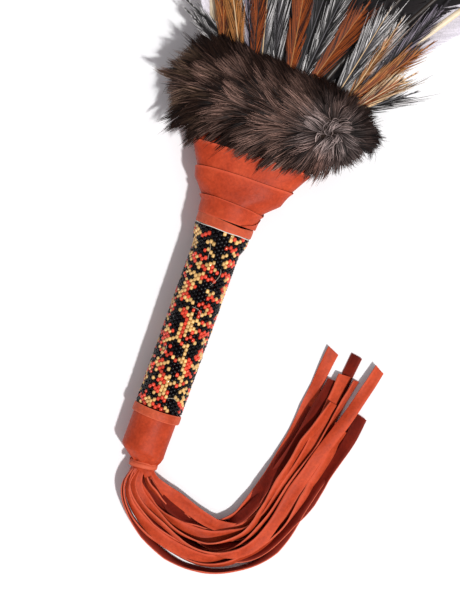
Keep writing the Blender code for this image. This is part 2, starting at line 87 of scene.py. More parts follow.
def lying(points):
    """The same for what lies level on the surface: z is the height above it."""
    p = np.asarray(points, float)
    return np.stack([
        ROOT[0] + (p[..., 0] - PIVOT[0]) * MM, ROOT[1] + (p[..., 1] - PIVOT[1]) * MM, p[..., 2] * MM,
    ], axis=-1)


# ---------------------------------------------------------------- small maths


def smooth(t):
    t = np.clip(t, 0.0, 1.0)
    return t * t * (3.0 - 2.0 * t)


def lerp(a, b, t):
    return a + (b - a) * t


def unit(v):
    return v / np.maximum(np.linalg.norm(v, axis=-1, keepdims=True), 1e-12)


def hump(x, middle, width):
    """1 at the middle, falling off smoothly on both sides."""
    return np.exp(-(((x - middle) / width) ** 2))


def read(table, at):
    """Columns of a table of rows (position, value, ...), read between its rows."""
    rows = np.array(table, float)
    return [np.interp(at, rows[:, 0], rows[:, k]) for k in range(1, rows.shape[1])]


def curve_through(points, per_span):
    """A smooth line through points, with per_span steps between two of them."""
    p = np.asarray(points, float)
    p = np.vstack([2 * p[0] - p[1], p, 2 * p[-1] - p[-2]])
    t = (np.arange(per_span) / per_span)[:, None]
    line = []
    for a, b, c, d in zip(p, p[1:], p[2:], p[3:]):
        square, cube = 2 * a - 5 * b + 4 * c - d, 3 * b - a - 3 * c + d
        line.append(0.5 * (2 * b + (c - a) * t + square * t**2 + cube * t**3))
    return np.vstack([*line, p[-2]])


def wavy(count, length, size):
    """Smooth random values with a wave about every `length` steps."""
    knots = RNG.normal(0.0, size, max(4, int(count / length) + 4))
    return np.interp(np.arange(count) / length, np.arange(len(knots)), knots)


def ripple(points, pitch, seed):
    """Smooth pseudo-random field over points, from a few sine waves of about that pitch."""
    rng = np.random.default_rng(seed)
    p = np.asarray(points, float)
    total = 0.0
    for _ in range(6):
        way = unit(rng.normal(size=p.shape[-1]))
        turns = 2 * math.pi / (pitch * rng.uniform(0.6, 1.6))
        total = total + np.sin(p @ way * turns + rng.uniform(0, 6.3))
    return total / 6.0


# ---------------------------------------------------------------- meshes


def linked(name, data):
    """An object of the scene that shows the data."""
    obj = bpy.data.objects.new(name, data)
    bpy.context.scene.collection.objects.link(obj)
    return obj


def piece(name, points, faces, mats, face_mats=None, **attributes):
    """A mesh object from points in metres. Attributes are per point: floats, or colours of three values."""
    mesh = bpy.data.meshes.new(name)
    points = np.asarray(points, float).reshape(-1, 3)
    mesh.from_pydata(points.tolist(), [], [tuple(int(i) for i in f) for f in faces])
    for mat in mats:
        mesh.materials.append(mat)
    if face_mats is not None:
        mesh.polygons.foreach_set("material_index", np.asarray(face_mats, np.int32))
    attributes["rest"] = points
    for key, values in attributes.items():
        values = np.asarray(values, np.float32)
        kind, field = ("FLOAT_VECTOR", "vector") if values.ndim == 2 else ("FLOAT", "value")
        mesh.attributes.new(key, kind, "POINT").data.foreach_set(field, values.ravel())
    mesh.shade_smooth()
    mesh.update()
    return linked(name, mesh)


def grid_faces(rows, columns, closed=False, caps=False):
    """Quads between rings of points, a ring in each row. closed joins the last ring to the first."""
    index = np.arange(rows * columns).reshape(rows, columns)
    low, high = (index, np.roll(index, -1, 0)) if closed else (index[:-1], index[1:])
    faces = np.stack([low, np.roll(low, -1, 1), np.roll(high, -1, 1), high], -1).reshape(-1, 4).tolist()
    if caps:
        faces += [index[0, ::-1].tolist(), index[-1].tolist()]
    return faces


def strip_mesh(lines, sides, widths):
    """Flat strips: lines is (strips, points, 3), sides the way across each, widths in metres."""
    half = sides * (widths / 2)[..., None]
    points = np.stack([lines - half, lines + half], axis=2)
    count, steps = lines.shape[:2]
    index = np.arange(count * steps * 2).reshape(count, steps, 2)
    faces = np.stack([index[:, :-1, 0], index[:, :-1, 1], index[:, 1:, 1], index[:, 1:, 0]], -1)
    return points.reshape(-1, 3), faces.reshape(-1, 4)


# ---------------------------------------------------------------- materials


def material(name, roughness, specular, sheen=0.0, coat=0.0):
    mat = bpy.data.materials.new(name)
    mat.use_nodes = True
    shader = mat.node_tree.nodes["Principled BSDF"]
    shader.inputs["Roughness"].default_value = roughness
    shader.inputs["Specular IOR Level"].default_value = specular
    shader.inputs["Sheen Weight"].default_value = sheen
    shader.inputs["Coat Weight"].default_value = coat
    return mat, mat.node_tree, shader


def add(tree, kind, links=(), **values):
    """A node with its inputs and properties set. links are (input name or index, socket) pairs."""
    made = tree.nodes.new(kind)
    for key, value in values.items():
        key = key.replace("_", " ") if key[0].isupper() else key
        if key[0].isupper():
            made.inputs[key].default_value = value
        else:
            setattr(made, key, value)
    for key, socket in links:
        tree.links.new(socket, made.inputs[key])
    return made


def attribute(tree, name):
    made = tree.nodes.new("ShaderNodeAttribute")
    made.attribute_name = name
    return made


def noise(tree, scale, detail, rough, stretch=None):
    """Noise over the piece's own rest position. stretch is a (x, y, z) scale that draws it out."""
    at = attribute(tree, "rest").outputs["Vector"]
    if stretch:
        mapping = add(tree, "ShaderNodeMapping", [("Vector", at)])
        mapping.inputs["Scale"].default_value = stretch
        at = mapping.outputs["Vector"]
    made = add(tree, "ShaderNodeTexNoise", [("Vector", at)], Scale=scale, Detail=detail, Roughness=rough)
    return made.outputs["Fac"]


def ramp(tree, factor, *stops):
    """stops are (position, colour of three values)."""
    made = add(tree, "ShaderNodeValToRGB", [("Fac", factor)])
    elements = made.color_ramp.elements
    while len(elements) < len(stops):
        elements.new(0.5)
    for element, (position, colour) in zip(elements, stops):
        element.position = position
        element.color = (*colour, 1.0)
    return made.outputs["Color"]


def grey(tree, factor, low, high):
    """The usual span of noise mapped to low..high."""
    made = add(tree, "ShaderNodeMapRange", [("Value", factor)],
               From_Min=0.3, From_Max=0.7, To_Min=low, To_Max=high)
    return made.outputs["Result"]


def mixed(tree, factor, a, b, how="MIX"):
    """Blends two colours or sockets."""
    made = tree.nodes.new("ShaderNodeMix")
    made.data_type = "RGBA"
    made.blend_type = how
    for index, value in ((0, factor), (6, a), (7, b)):
        if isinstance(value, bpy.types.NodeSocket):
            tree.links.new(value, made.inputs[index])
        elif index == 0:
            made.inputs[index].default_value = value
        else:
            made.inputs[index].default_value = (*value, 1.0)
    return made.outputs[2]


def toned(tree, colour, level):
    """A colour made lighter or darker by a level about 1."""
    tone = add(tree, "ShaderNodeCombineColor", [("Red", level), ("Green", level), ("Blue", level)])
    return mixed(tree, 1.0, colour, tone.outputs["Color"], "MULTIPLY")


def bump(tree, shader, height, strength, distance):
    made = add(tree, "ShaderNodeBump", [("Height", height)], Strength=strength, Distance=distance)
    tree.links.new(made.outputs["Normal"], shader.inputs["Normal"])


def leather(name, dark, usual, light, roughness=0.56):
    """Smooth dyed leather: fine pebbled grain, cloudy colour, paler where the `edge` attribute is high."""
    mat, tree, shader = material(name, roughness, 0.16)
    clouds = noise(tree, 70.0, 4.0, 0.6)
    mottle = noise(tree, 620.0, 3.0, 0.6)
    colour = ramp(tree, clouds, (0.30, dark), (0.52, usual), (0.75, light))
    colour = toned(tree, colour, grey(tree, mottle, 0.84, 1.14))
    worn = tuple(min(1.0, c * 1.35 + 0.02) for c in light)
    colour = mixed(tree, attribute(tree, "edge").outputs["Fac"], colour, worn)
    tree.links.new(colour, shader.inputs["Base Color"])
    rest = attribute(tree, "rest").outputs["Vector"]
    cells = add(tree, "ShaderNodeTexVoronoi", [("Vector", rest)], Scale=1150.0)
    grain = add(tree, "ShaderNodeMath", [(0, cells.outputs["Distance"]), (1, mottle)], operation="ADD")
    bump(tree, shader, grain.outputs["Value"], 0.28, 0.00022)
    tree.links.new(grey(tree, clouds, roughness - 0.07, roughness + 0.09), shader.inputs["Roughness"])
    return mat


def tinted(name, roughness, specular, sheen=0.0, coat=0.0, fine=900.0, spread=0.25):
    """Takes each hair's, barb's or bead's colour from the `tint` attribute, with fine variation."""
    mat, tree, shader = material(name, roughness, specular, sheen, coat)
    grain = noise(tree, fine, 3.0, 0.6)
    level = grey(tree, grain, 1.0 - spread, 1.0 + spread)
    colour = toned(tree, attribute(tree, "tint").outputs["Color"], level)
    tree.links.new(colour, shader.inputs["Base Color"])
    tree.links.new(grey(tree, grain, roughness - 0.06, roughness + 0.06), shader.inputs["Roughness"])
    bump(tree, shader, grain, 0.12, 0.0001)
    return mat


def streaked(name, roughness, specular, texture, dark, light, bumps=None):
    """Two tones that follow a noise: its scale, detail, roughness and stretch are the texture."""
    mat, tree, shader = material(name, roughness, specular)
    streaks = noise(tree, *texture)
    colour = ramp(tree, streaks, (0.3, dark), (0.7, light))
    tree.links.new(colour, shader.inputs["Base Color"])
    if bumps:
        bump(tree, shader, streaks, *bumps)
    return mat


RED_LEATHER = leather("rust_leather", (0.36, 0.035, 0.009), (0.46, 0.051, 0.015), (0.55, 0.074, 0.026))
PALE_LEATHER = leather("band_leather", (0.42, 0.052, 0.017), (0.52, 0.082, 0.032), (0.60, 0.12, 0.055))
# Flesh side of the leather: darker than the grain side, and its near-black colour is also painted shade, for
# strands turned flesh side up and for rims that face away from the light.
FLESH_SIDE_AND_SHADE = leather("flesh_side_and_shade", (0.10, 0.006, 0.002), (0.14, 0.009, 0.003), (0.19, 0.015, 0.005), 0.86)
CUT_EDGE = leather("cut_edge", (0.36, 0.045, 0.02), (0.46, 0.07, 0.032), (0.56, 0.11, 0.05), 0.75)
GLASS_BEAD = tinted("seed_beads", 0.2, 0.35, coat=0.15, fine=400.0, spread=0.10)
BLACK_GLASS = tinted("black_seed_beads", 0.24, 0.16, fine=400.0, spread=0.10)
THREAD = tinted("thread", 0.6, 0.3, sheen=0.2, spread=0.12)
HAIR = tinted("fur_hair", 0.5, 0.10, spread=0.22)
SKIN = tinted("fur_skin", 0.9, 0.1, spread=0.3)
BARB = tinted("feather_barbs", 0.6, 0.22, fine=1400.0, spread=0.16)
GLOSSY_BARB = tinted("black_barbs", 0.45, 0.22, fine=1400.0, spread=0.22)
QUILL = tinted("quills", 0.38, 0.45, fine=500.0, spread=0.08)
WOOD = streaked("turned_wood", 0.6, 0.35, (260.0, 5.0, 0.6, (1.0, 0.06, 1.0)),
                (0.24, 0.12, 0.05), (0.52, 0.33, 0.17), (0.2, 0.0002))
SINEW = streaked("sinew", 0.55, 0.4, (700.0, 4.0, 0.6, (0.08, 1.0, 1.0)),
                 (0.38, 0.26, 0.13), (0.66, 0.53, 0.34), (0.4, 0.0003))
PAPER = streaked("paper_floor", 0.9, 0.1, (30.0, 3.0, 0.5), (0.90, 0.90, 0.91), (0.93, 0.93, 0.93))


def paint_node(node, mat):
    """Gives a CAD node that stays a better material."""
    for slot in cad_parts[node].material_slots:
        slot.material = mat


# ---------------------------------------------------------------- camera, light and floor

PHOTO_MIDDLE = (17.0, 14.2, 15.0)  # the point of the fan in the middle of the picture
PHOTO_TURN = 19.9  # the camera is turned this much about the vertical
PHOTO_TALL = 318.8  # height of the object plane that the picture takes in
CAMERA_UP = 1200.0
SUNLIGHT = (-0.402, 0.210, -0.891)  # the way the light falls
FLOOR_HALF = 4.0


def make_camera():
    data = bpy.data.cameras.new("camera")
    camera = linked("camera", data)
    x, y, z = PHOTO_MIDDLE
    camera.location = Vector(lying((x, y, z + CAMERA_UP)))
    camera.rotation_euler = (0.0, 0.0, math.radians(PHOTO_TURN))
    data.lens = data.sensor_width * CAMERA_UP / PHOTO_TALL
    data.clip_start, data.clip_end = 0.05, 20.0
    bpy.context.scene.camera = camera


def make_lights():
    sun = bpy.data.lights.new("key_sun", "SUN")
    sun.energy = 2.75
    sun.angle = math.radians(3.0)
    key = linked("key_sun", sun)
    key.rotation_mode = "QUATERNION"
    key.rotation_quaternion = Vector(SUNLIGHT).to_track_quat("-Z", "Y")

    soft = bpy.data.lights.new("soft_box", "AREA")
    soft.energy, soft.size = 2.2, 0.9
    box = linked("soft_box", soft)
    box.location = (0.75, -0.55, 1.1)
    box.rotation_mode = "QUATERNION"
    box.rotation_quaternion = (-Vector(box.location)).to_track_quat("-Z", "Y")

    world = bpy.data.worlds.new("studio")
    bpy.context.scene.world = world
    world.use_nodes = True
    background = world.node_tree.nodes["Background"]
    background.inputs["Color"].default_value = (1.0, 0.945, 0.985, 1.0)
    background.inputs["Strength"].default_value = 0.40
    bpy.context.scene.view_settings.view_transform = "Standard"
    bpy.context.scene.view_settings.look = "None"


def make_floor():
    corners = np.array([(-1, -1, 0), (1, -1, 0), (1, 1, 0), (-1, 1, 0)]) * FLOOR_HALF
    piece("floor", corners, [(0, 1, 2, 3)], [PAPER])


make_camera()
make_lights()
make_floor()

# ---------------------------------------------------------------- fringe

STRAND_WIDTH, STRAND_THICK = 6.6, 1.0
RANK_STEP = 0.62  # one strand above the next as they start to settle
SETTLE_TURNS, CALM_TURNS = 260, 60  # in the last turns nothing pulls the strands to their places
# Middle line of the fringe as it lies, from the tie to the tips.
FRINGE_LINE = [
    (2.6, -80.5), (4.4, -85.0),
    (7.6, -89.4), (11.2, -92.4), (16.0, -95.6), (25.1, -99.9), (36.4, -103.5), (47.7, -104.4),
    (57.5, -100.8), (66.2, -94.4), (72.4, -83.8), (77.0, -70.6), (81.0, -55.8), (84.4, -40.8),
    (87.3, -25.9), (89.8, -11.2), (91.7, 3.3), (93.1, 14.9),
]
NECK_SCALE = 0.5  # the strands are gathered narrow at the neck
NECK_HEIGHT, NECK_RING = 11.1, 3.4
NECK = (2.6, -80.5, NECK_HEIGHT)
# Two points near the tie, in the row frame; the fringe is not bent between them here. The tips, which lie
# beside the grip, are past the second.
BEND_FROM, BEND_TO = tuple(lying((1.0, -84.0, 11.0))), tuple(lying((14.2, -91.1, 11.0)))
STATION_STEP = 3.0
# Distances from the tie at which each strand's place beside the middle line (outward) and its roll are given.
STATIONS = (0, 12, 24, 36, 54, 66, 78, 102, 132, 160, 189)
# node number, rank from the surface up, length from the tie, skew of the cut end, places, rolls (degrees:
# 0 lies face up, 90 stands on edge, 180 shows the flesh side)
STRANDS = [
    (13, 7.0, 155, 0.1, (-4.4, -8.0, -8.8, -8.4, -7.6, -6.3, -5.0, -4.0, -3.0, -3, -3),
     (-50, -10, 6, 14, 4, 24, 50, 50, 40, 30, 30)),
    (1, 5.0, 147, 0.0, (-3.8, -5.8, -6.0, -4.6, -3.4, -4.0, -6.4, -8.0, -8.0, -8, -8),
     (-80, -40, 45, 70, 74, 76, 84, 80, 60, 60, 60)),
    (7, 8.0, 169, -0.1, (-2.6, -1.6, 0.6, -0.4, -3.4, -6.0, -8.2, -8.0, -8.4, -8.4, -9.3),
     (220, 196, 164, 120, 96, 104, 140, 162, 176, 184, 180)),
    (4, 6.0, 150, 0.1, (-3.6, -4.6, -3.6, -4.0, -5.0, -6.0, -8.6, -11.6, -11.4, -11, -11),
     (250, 222, 190, 130, 102, 104, 122, 162, 174, 180, 180)),
    (10, 2.0, 183, -0.3, (-1.4, -1.6, -3.0, -4.6, -6.8, -8.4, -10.2, -11.4, -12.4, -15.4, -16.8),
     (60, 66, 74, 80, 84, 76, 70, 34, 4, -6, 6)),
    (11, 12.0, 158, 0.0, (0.6, 3.6, 5.0, 3.2, -0.6, -2.4, -4.4, -5.2, -5.4, -5, -5),
     (0, 8, 50, 80, 86, 84, 80, 74, 64, 60, 60)),
    (9, 10.0, 155, 0.1, (2.8, 10.4, 13.0, 12.2, 10.2, 8.2, 8.0, 6.6, 5.5, 5, 5),
     (35, 66, 24, 0, 46, 80, 66, 50, 50, 50, 50)),
    (15, 15.0, 185, -0.35, (1.8, 7.2, 8.2, 7.0, 6.6, 8.2, 7.6, 2.8, 2.2, 5.4, 8.6),
     (15, 50, 80, 86, 80, 34, 4, 26, 10, -8, 12)),
    (6, 2.0, 159, 0.1, (3.0, 9.0, 10.0, 8.6, 8.4, 10.4, 11.6, 11.6, 11.4, 10.4, 9.8),
     (150, 130, 118, 112, 118, 128, 135, 146, 160, 172, 184)),
    (2, 9.0, 174, 0.2, (1.4, 1.6, 1.8, 0.2, -1.6, -2.6, -3.6, -4.2, -4.6, -6.2, -6.6),
     (-10, 20, 66, 56, 12, 20, 66, 72, 44, 10, 8)),
    (8, 1.0, 187, 0.05, (0, 0.4, 0.2, 0.8, 2.2, 1.0, 0.5, -0.2, -0.8, -2.0, -2.6),
     (180, 165, 145, 112, 94, 100, 120, 150, 175, 184, 174)),
    (14, 11.0, 174, 0.1, (3.4, 8.6, 10.2, 9.8, 8.0, 5.0, 1.4, -1.0, 0.2, 0.6, 1.0),
     (55, 80, 84, 84, 80, 82, 80, 80, 74, 60, 66)),
    (12, 8.5, 148, 0.0, (4.0, 12.0, 13.8, 12.6, 12.0, 11.6, 10.8, 9.0, 8.4, 8, 8),
     (70, 92, 88, 84, 78, 62, 66, 78, 70, 60, 60)),
    (3, 3.5, 147, 0.0, (4.2, 6.4, 6.2, 5.6, 5.2, 6.0, 7.4, 7.4, 7.2, 7, 7),
     (120, 116, 112, 110, 108, 104, 98, 90, 84, 80, 80)),
    (5, 4.5, 150, 0.0, (-0.8, 1.0, 3.0, 2.0, 2.4, 3.0, 3.2, 3.4, 3.8, 4, 4),
     (200, 172, 150, 124, 112, 106, 100, 95, 86, 80, 80)),
    (16, 0.0, 150, 0.1, (4.8, 13.6, 16.0, 17.6, 19.0, 19.6, 14.6, 11.0, 12.0, 12, 12),
     (95, 104, 102, 96, 97, 96, 112, 150, 170, 175, 178)),
]


def strand_frame():
    """The fringe's middle line at even steps: its points and the way outward at each."""
    line = curve_through(FRINGE_LINE, 12)
    along = np.concatenate([[0], np.cumsum(np.linalg.norm(np.diff(line, axis=0), axis=1))])
    at = np.arange(0.0, along[-1], STATION_STEP)
    points = np.stack([np.interp(at, along, line[:, k]) for k in range(2)], 1)
    ahead = unit(np.gradient(points, axis=0))
    return at, points, np.stack([ahead[:, 1], -ahead[:, 0]], 1)


def settle_strands(at):
    """Places, heights and rolls of all strands at every step, pushed apart until none lies in another."""
    count, steps = len(STRANDS), len(at)
    scale = lerp(NECK_SCALE, 1.0, smooth((at - 3.0) / 26.0))
    half, thick = STRAND_WIDTH / 2 * scale[None] * np.ones((count, 1)), STRAND_THICK / 2 + 0.06
    wanted, roll, z = (np.zeros((count, steps)) for _ in range(3))
    for k, (_, rank, _, _, places, rolls) in enumerate(STRANDS):
        wanted[k] = np.interp(at, STATIONS, places) + wavy(steps, 7.0, 0.5)
        wanted[k] += wavy(steps, 11.0, 1.5) * smooth((at - 84.0) / 40.0)
        # Outer strands bulge away where they leave the tie.
        wanted[k] *= 1 + 0.38 * hump(at, 8.0, 6.0) * (wanted[k] > 0)
        roll[k] = np.radians(np.interp(at, STATIONS, rolls) + wavy(steps, 5.0, 11.0) * smooth(at / 20))
        z[k] = 1.0 + rank * RANK_STEP
    for _ in range(3):
        for value in (wanted, roll):
            value[:, 1:-1] = (value[:, :-2] + 2 * value[:, 1:-1] + value[:, 2:]) / 4
    ring = NECK_HEIGHT + NECK_RING * np.cos(roll[:, :1])
    free = smooth((at - 4.0) / 26.0)[None]
    z = ring * (1 - smooth(at / 34.0)) + z * smooth(at / 34.0)
    pinned, a = z.copy(), wanted.copy()
    live = np.array([at <= row[2] + STATION_STEP for row in STRANDS])
    i, j = np.triu_indices(count, 1)
    both = (live[i] & live[j]).astype(float)
    wide = np.stack([np.cos(roll), -np.sin(roll)], -1)
    normal = np.stack([np.sin(roll), np.cos(roll)], -1)
    reach = half * np.abs(np.sin(roll)) + thick * np.abs(np.cos(roll))

    def extent(k, axis):
        """How far the sections of the strands k reach along an axis."""
        return half[k] * np.abs((wide[k] * axis).sum(-1)) + thick * np.abs((normal[k] * axis).sum(-1))

    for turn in range(SETTLE_TURNS):
        d = np.stack([a[j] - a[i], z[j] - z[i]], -1)
        least, push = np.full(d.shape[:2], 1e9), np.zeros(d.shape)
        for axis in (wide[i], normal[i], wide[j], normal[j]):
            gap = (d * axis).sum(-1)
            over = extent(i, axis) + extent(j, axis) - np.abs(gap)
            better = over < least
            least = np.where(better, over, least)
            push = np.where(better[..., None], axis * np.sign(gap + 1e-9)[..., None], push)
        move = push * (np.clip(least, 0.0, 1.2) * both * 0.3)[..., None]
        shift = np.zeros((count, steps, 2))
        np.add.at(shift, i, -move)
        np.add.at(shift, j, move)
        a = a + shift[..., 0] * free
        z = z + shift[..., 1] * free
        if turn < SETTLE_TURNS - CALM_TURNS:
            a = a + (wanted - a) * 0.06
            z = z - 0.035 * free
        for value in (a, z):
            value[:, 1:-1] += 0.22 * (value[:, :-2] + value[:, 2:] - 2 * value[:, 1:-1]) * free[:, 1:-1]
        z = np.maximum(z, reach + 0.15) * free + pinned * (1 - free)
    return a, z, roll, scale


STRAND_SECTION = np.array([  # across and up, as shares of the half width and of the thickness
    (-1.0, 0.28), (-0.93, 0.5), (-0.45, 0.5), (0.0, 0.5), (0.45, 0.5), (0.93, 0.5), (1.0, 0.28),
    (1.0, -0.28), (0.93, -0.5), (0.45, -0.5), (0.0, -0.5), (-0.45, -0.5), (-0.93, -0.5), (-1.0, -0.28),
])
GRAIN_SIDES, EDGE_SIDES = (0, 1, 2, 3, 4, 5), (6, 13)


def make_strands():
    at, middle, outward = strand_frame()
    a, z, roll, scale = settle_strands(at)
    neck, up3 = tuple(lying(NECK)), np.array([0.0, 0.0, 1.0])
    for k, (number, _, length, skew, _, _) in enumerate(STRANDS):
        fine = np.arange(0.0, length + 0.1, STATION_STEP / 2)
        fine[-1] = length

        def spread(values):
            return np.interp(fine, at, values)

        place, height, turn = spread(a[k]), spread(z[k]), spread(roll[k])
        base = np.stack([spread(middle[:, 0]), spread(middle[:, 1])], 1)
        out = unit(np.stack([spread(outward[:, 0]), spread(outward[:, 1])], 1))
        centre = np.column_stack([base + out * place[:, None], height])
        for _ in range(2):
            centre[1:-1] = (centre[:-2] + 2 * centre[1:-1] + centre[2:]) / 4
        out3 = np.column_stack([out, np.zeros(len(out))])
        wide = out3 * np.cos(turn)[:, None] - up3 * np.sin(turn)[:, None]
        face = out3 * np.sin(turn)[:, None] + up3 * np.cos(turn)[:, None]
        ahead = unit(np.gradient(centre, axis=0))
        half = STRAND_WIDTH / 2 * spread(scale) * (1 + wavy(len(fine), 9.0, 0.06))
        cup = wavy(len(fine), 9.0, 0.85) * smooth((fine - 8.0) / 16.0)
        rows = []
        for share, up in STRAND_SECTION:
            curl = cup * (share * share - 0.4)
            point = centre + wide * (half * share)[:, None] + face * (up * STRAND_THICK + curl)[:, None]
            ends = smooth((fine - length + 8.0) / 8.0) * skew * share * STRAND_WIDTH / 2
            rows.append(point + ahead * ends[:, None])
        points = np.stack(rows, 1)
        points[..., 2] = np.maximum(points[..., 2], 0.12)
        sides = len(STRAND_SECTION)
        faces = grid_faces(len(fine), sides, caps=True)
        kinds = [0 if s in GRAIN_SIDES else 2 if s in EDGE_SIDES else 1 for s in range(sides)]
        face_mats = kinds * (len(fine) - 1) + [2, 2]
        edge = np.tile([0.35 if abs(s) > 0.9 else 0.0 for s, _ in STRAND_SECTION], len(fine))
        # The flesh faces take the near-black material, which is partly painted shade.
        mats = [RED_LEATHER, FLESH_SIDE_AND_SHADE, CUT_EDGE]
        strand = piece(f"fringe_strand_{number:02d}", lying(points), faces, mats, face_mats, edge=edge)
        strand.data.set_sharp_from_angle(angle=math.radians(50))
        path = lying(centre)
        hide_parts(f"strand_{number:02d}")
        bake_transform(strand)
        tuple(BEND_FROM)
        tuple(BEND_TO)
        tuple(neck)


make_strands()

# ---------------------------------------------------------------- leather on the handle


def attach(obj, slot, *nodes):
    """A piece that goes with the fan's body."""
    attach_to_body(obj, "fan")
    if nodes:
        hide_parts(*nodes)


def strap(name, angles, low, high, surface, lift, thick, mat, closed=False, across=10):
    """A leather strip laid around the handle: low and high are its edges along the handle at each angle,
    surface(angle, y, height) a point over what it lies on, and lift(share) its height from edge to edge."""
    width = np.maximum(high - low, 0.05)
    rim = np.minimum(0.35 / width, 0.3)
    rows = []
    edge = []
    shares = np.linspace(0.0, 1.0, across)
    for side in (1, -1):
        for n, share in enumerate(shares[::side]):
            f = np.clip(share, rim, 1 - rim) if 0 < n < across - 1 else np.full(len(angles), share)
            v = lerp(low, high, f)
            at_end = n in (0, across - 1)
            up = thick * (0.72 if at_end else 1.0) if side > 0 else thick * (0.2 if at_end else 0.0)
            rows.append(surface(angles, v, lift(v, high) + up))
            edge.append(0.5 if at_end else 0.0)
    points = np.stack(rows, 1)
    faces = grid_faces(len(angles), len(rows), closed=closed, caps=not closed)
    # The inner side and the rims get the dark flesh-side material; on the rims it is painted shade, a dark
    # line along each lapped upper edge.
    kinds = [0] * (across - 1) + [1] * (across + 1)
    kinds = kinds * (len(faces) // len(kinds)) + [1] * (len(faces) % len(kinds))
    made = piece(name, fan(points), faces, [mat, FLESH_SIDE_AND_SHADE], kinds, edge=np.tile(edge, len(angles)))
    made.data.set_sharp_from_angle(angle=math.radians(48))
    return made


def superellipse(angle, centre_x, half_x, half_z, power, y):
    """Points around the handle; angle 0 is the left side and 90 the front."""
    c, s = -np.cos(np.radians(angle)), np.sin(np.radians(angle))
    x = centre_x + half_x * np.sign(c) * np.abs(c) ** (2 / power)
    return np.stack([x, y, half_z * np.sign(s) * np.abs(s) ** (2 / power)], -1)


def circle(angle, radius, y):
    return superellipse(angle, 0.0, radius, radius, 2.0, y)


# Surface under the wound strip: y, middle x, half width, half height, power.
HEAD = [
    (55.0, 0.0, 14.0, 13.8, 2.0), (62.0, 0.1, 14.2, 13.6, 2.0), (65.5, 0.1, 16.2, 13.5, 2.1),
    (71.5, 0.4, 21.8, 12.8, 2.3), (77.0, 0.8, 23.2, 12.2, 2.5), (83.5, 0.8, 26.4, 11.6, 2.8),
    (93.0, 0.8, 31.0, 10.9, 3.1), (104.0, 0.8, 35.2, 9.8, 3.4), (118.0, 1.0, 37.2, 8.8, 3.6),
]
# Upper edge of the wound strip: degrees wound, y.
WRAP_EDGE = [
    (120, 55.4), (150, 58.0), (180, 61.9), (360, 64.0), (420, 65.3), (480, 64.8), (540, 63.3), (720, 76.7),
    (810, 79.8), (900, 80.2), (1080, 89.2), (1200, 92.5), (1260, 91.4), (1440, 103.0), (1620, 110.0),
    (1800, 117.5),
]
WRAP_WIDTH, WRAP_THICK = 22.0, 0.7
HEAD_BOTTOM = 55.5


def head_surface(angle, y, height):
    centre, half_x, half_z, power = read(HEAD, y)
    base = superellipse(angle, centre, half_x, half_z, power, y)
    folds = 0.22 * ripple(base * (0.35, 1.0, 0.6), 9.0, 3) + 0.12 * ripple(base, 4.0, 5)
    gather = 0.35 * hump(y, 66.5, 2.5) * np.sin(np.radians(angle) * 7 + 0.6)
    height = height + folds + gather
    return superellipse(angle, centre, half_x + height, half_z + height, power, y)


def make_head_wrap():
    angles = np.arange(120.0, 1800.1, 4.0)
    high, = read(WRAP_EDGE, angles)
    high = high + ripple(np.column_stack([angles, angles * 0]), 110.0, 11) * 0.35
    low = np.maximum(high - WRAP_WIDTH, HEAD_BOTTOM)

    def lift(y, top):
        """The lower turns lap over the upper ones, and their upper edge stands off a little."""
        return 1.5 * (1 - (top - y) / WRAP_WIDTH) + 0.55 * np.exp(-(top - y) / 0.8)

    made = strap("head_strip", angles, low, high, head_surface, lift, WRAP_THICK, RED_LEATHER, across=14)
    attach(made, "leather", "head_wrap")


def round_surface(radius):
    def surface(angle, y, height):
        height = height + 0.08 * ripple(circle(angle, radius, y), 5.0, 21)
        return circle(angle, radius + height, y)

    return surface


def make_bands():
    angles = np.arange(0.0, 360.0, 5.0)
    high, = read([(0, 56.2), (60, 55.6), (125, 54.4), (180, 55.5), (270, 55.9), (360, 56.2)], angles)
    low = 50.35 + 0.12 * np.sin(np.radians(angles * 3))
    upper = strap("upper_binding", angles, low, high, round_surface(14.1),
                  lambda y, top: 0.15 * np.sin((y - 50.4) / 5.6 * math.pi), 1.0, PALE_LEATHER, closed=True)
    attach(upper, "leather", "upper_band")
    low = -53.2 + 0.15 * np.sin(np.radians(angles * 2 + 40))
    high = -48.6 + 0.12 * np.sin(np.radians(angles * 3))
    lower = strap("lower_binding", angles, low, high, round_surface(12.0),
                  lambda y, top: 0.12 * np.sin((y + 53.2) / 4.6 * math.pi), 0.85, PALE_LEATHER, closed=True)
    attach(lower, "leather", "lower_band")


# Sleeve on the lower end: y, middle x, middle z, half width, half height, power, depth of the folds.
GRIP = [
    (-80.6, 2.6, -0.6, 6.1, 5.0, 2.2, 0.5), (-77.8, 2.4, -0.5, 6.3, 5.2, 2.2, 0.6),
    (-77.0, 2.4, -0.5, 7.0, 5.9, 2.2, 0.6), (-75.0, 1.5, -0.3, 9.3, 8.6, 2.15, 0.35),
    (-72.4, 0.3, -0.1, 11.35, 11.0, 2.1, 0.2), (-70.8, -0.2, 0, 11.7, 11.5, 2, 0.1),
    (-66.0, -0.25, 0, 11.65, 11.6, 2, 0.04), (-60.0, -0.25, 0, 11.7, 11.6, 2, 0.0),
    (-48.9, -0.1, 0, 11.6, 11.5, 2, 0.0),
]


def red_shell(name, outside, inside, edge):
    """A leather tube from its outer rings and, in the opposite order, its inner ones."""
    shell = np.concatenate([outside, inside])
    rows, columns = shell.shape[:2]
    return piece(name, fan(shell), grid_faces(rows, columns, closed=True), [RED_LEATHER], edge=edge)


GRIP_END, GRIP_PLAIN_FROM, GRIP_TOP = -80.6, -69.0, -48.9
GRIP_FOLDS = 9
SEAM_AT = 318.0  # degrees around


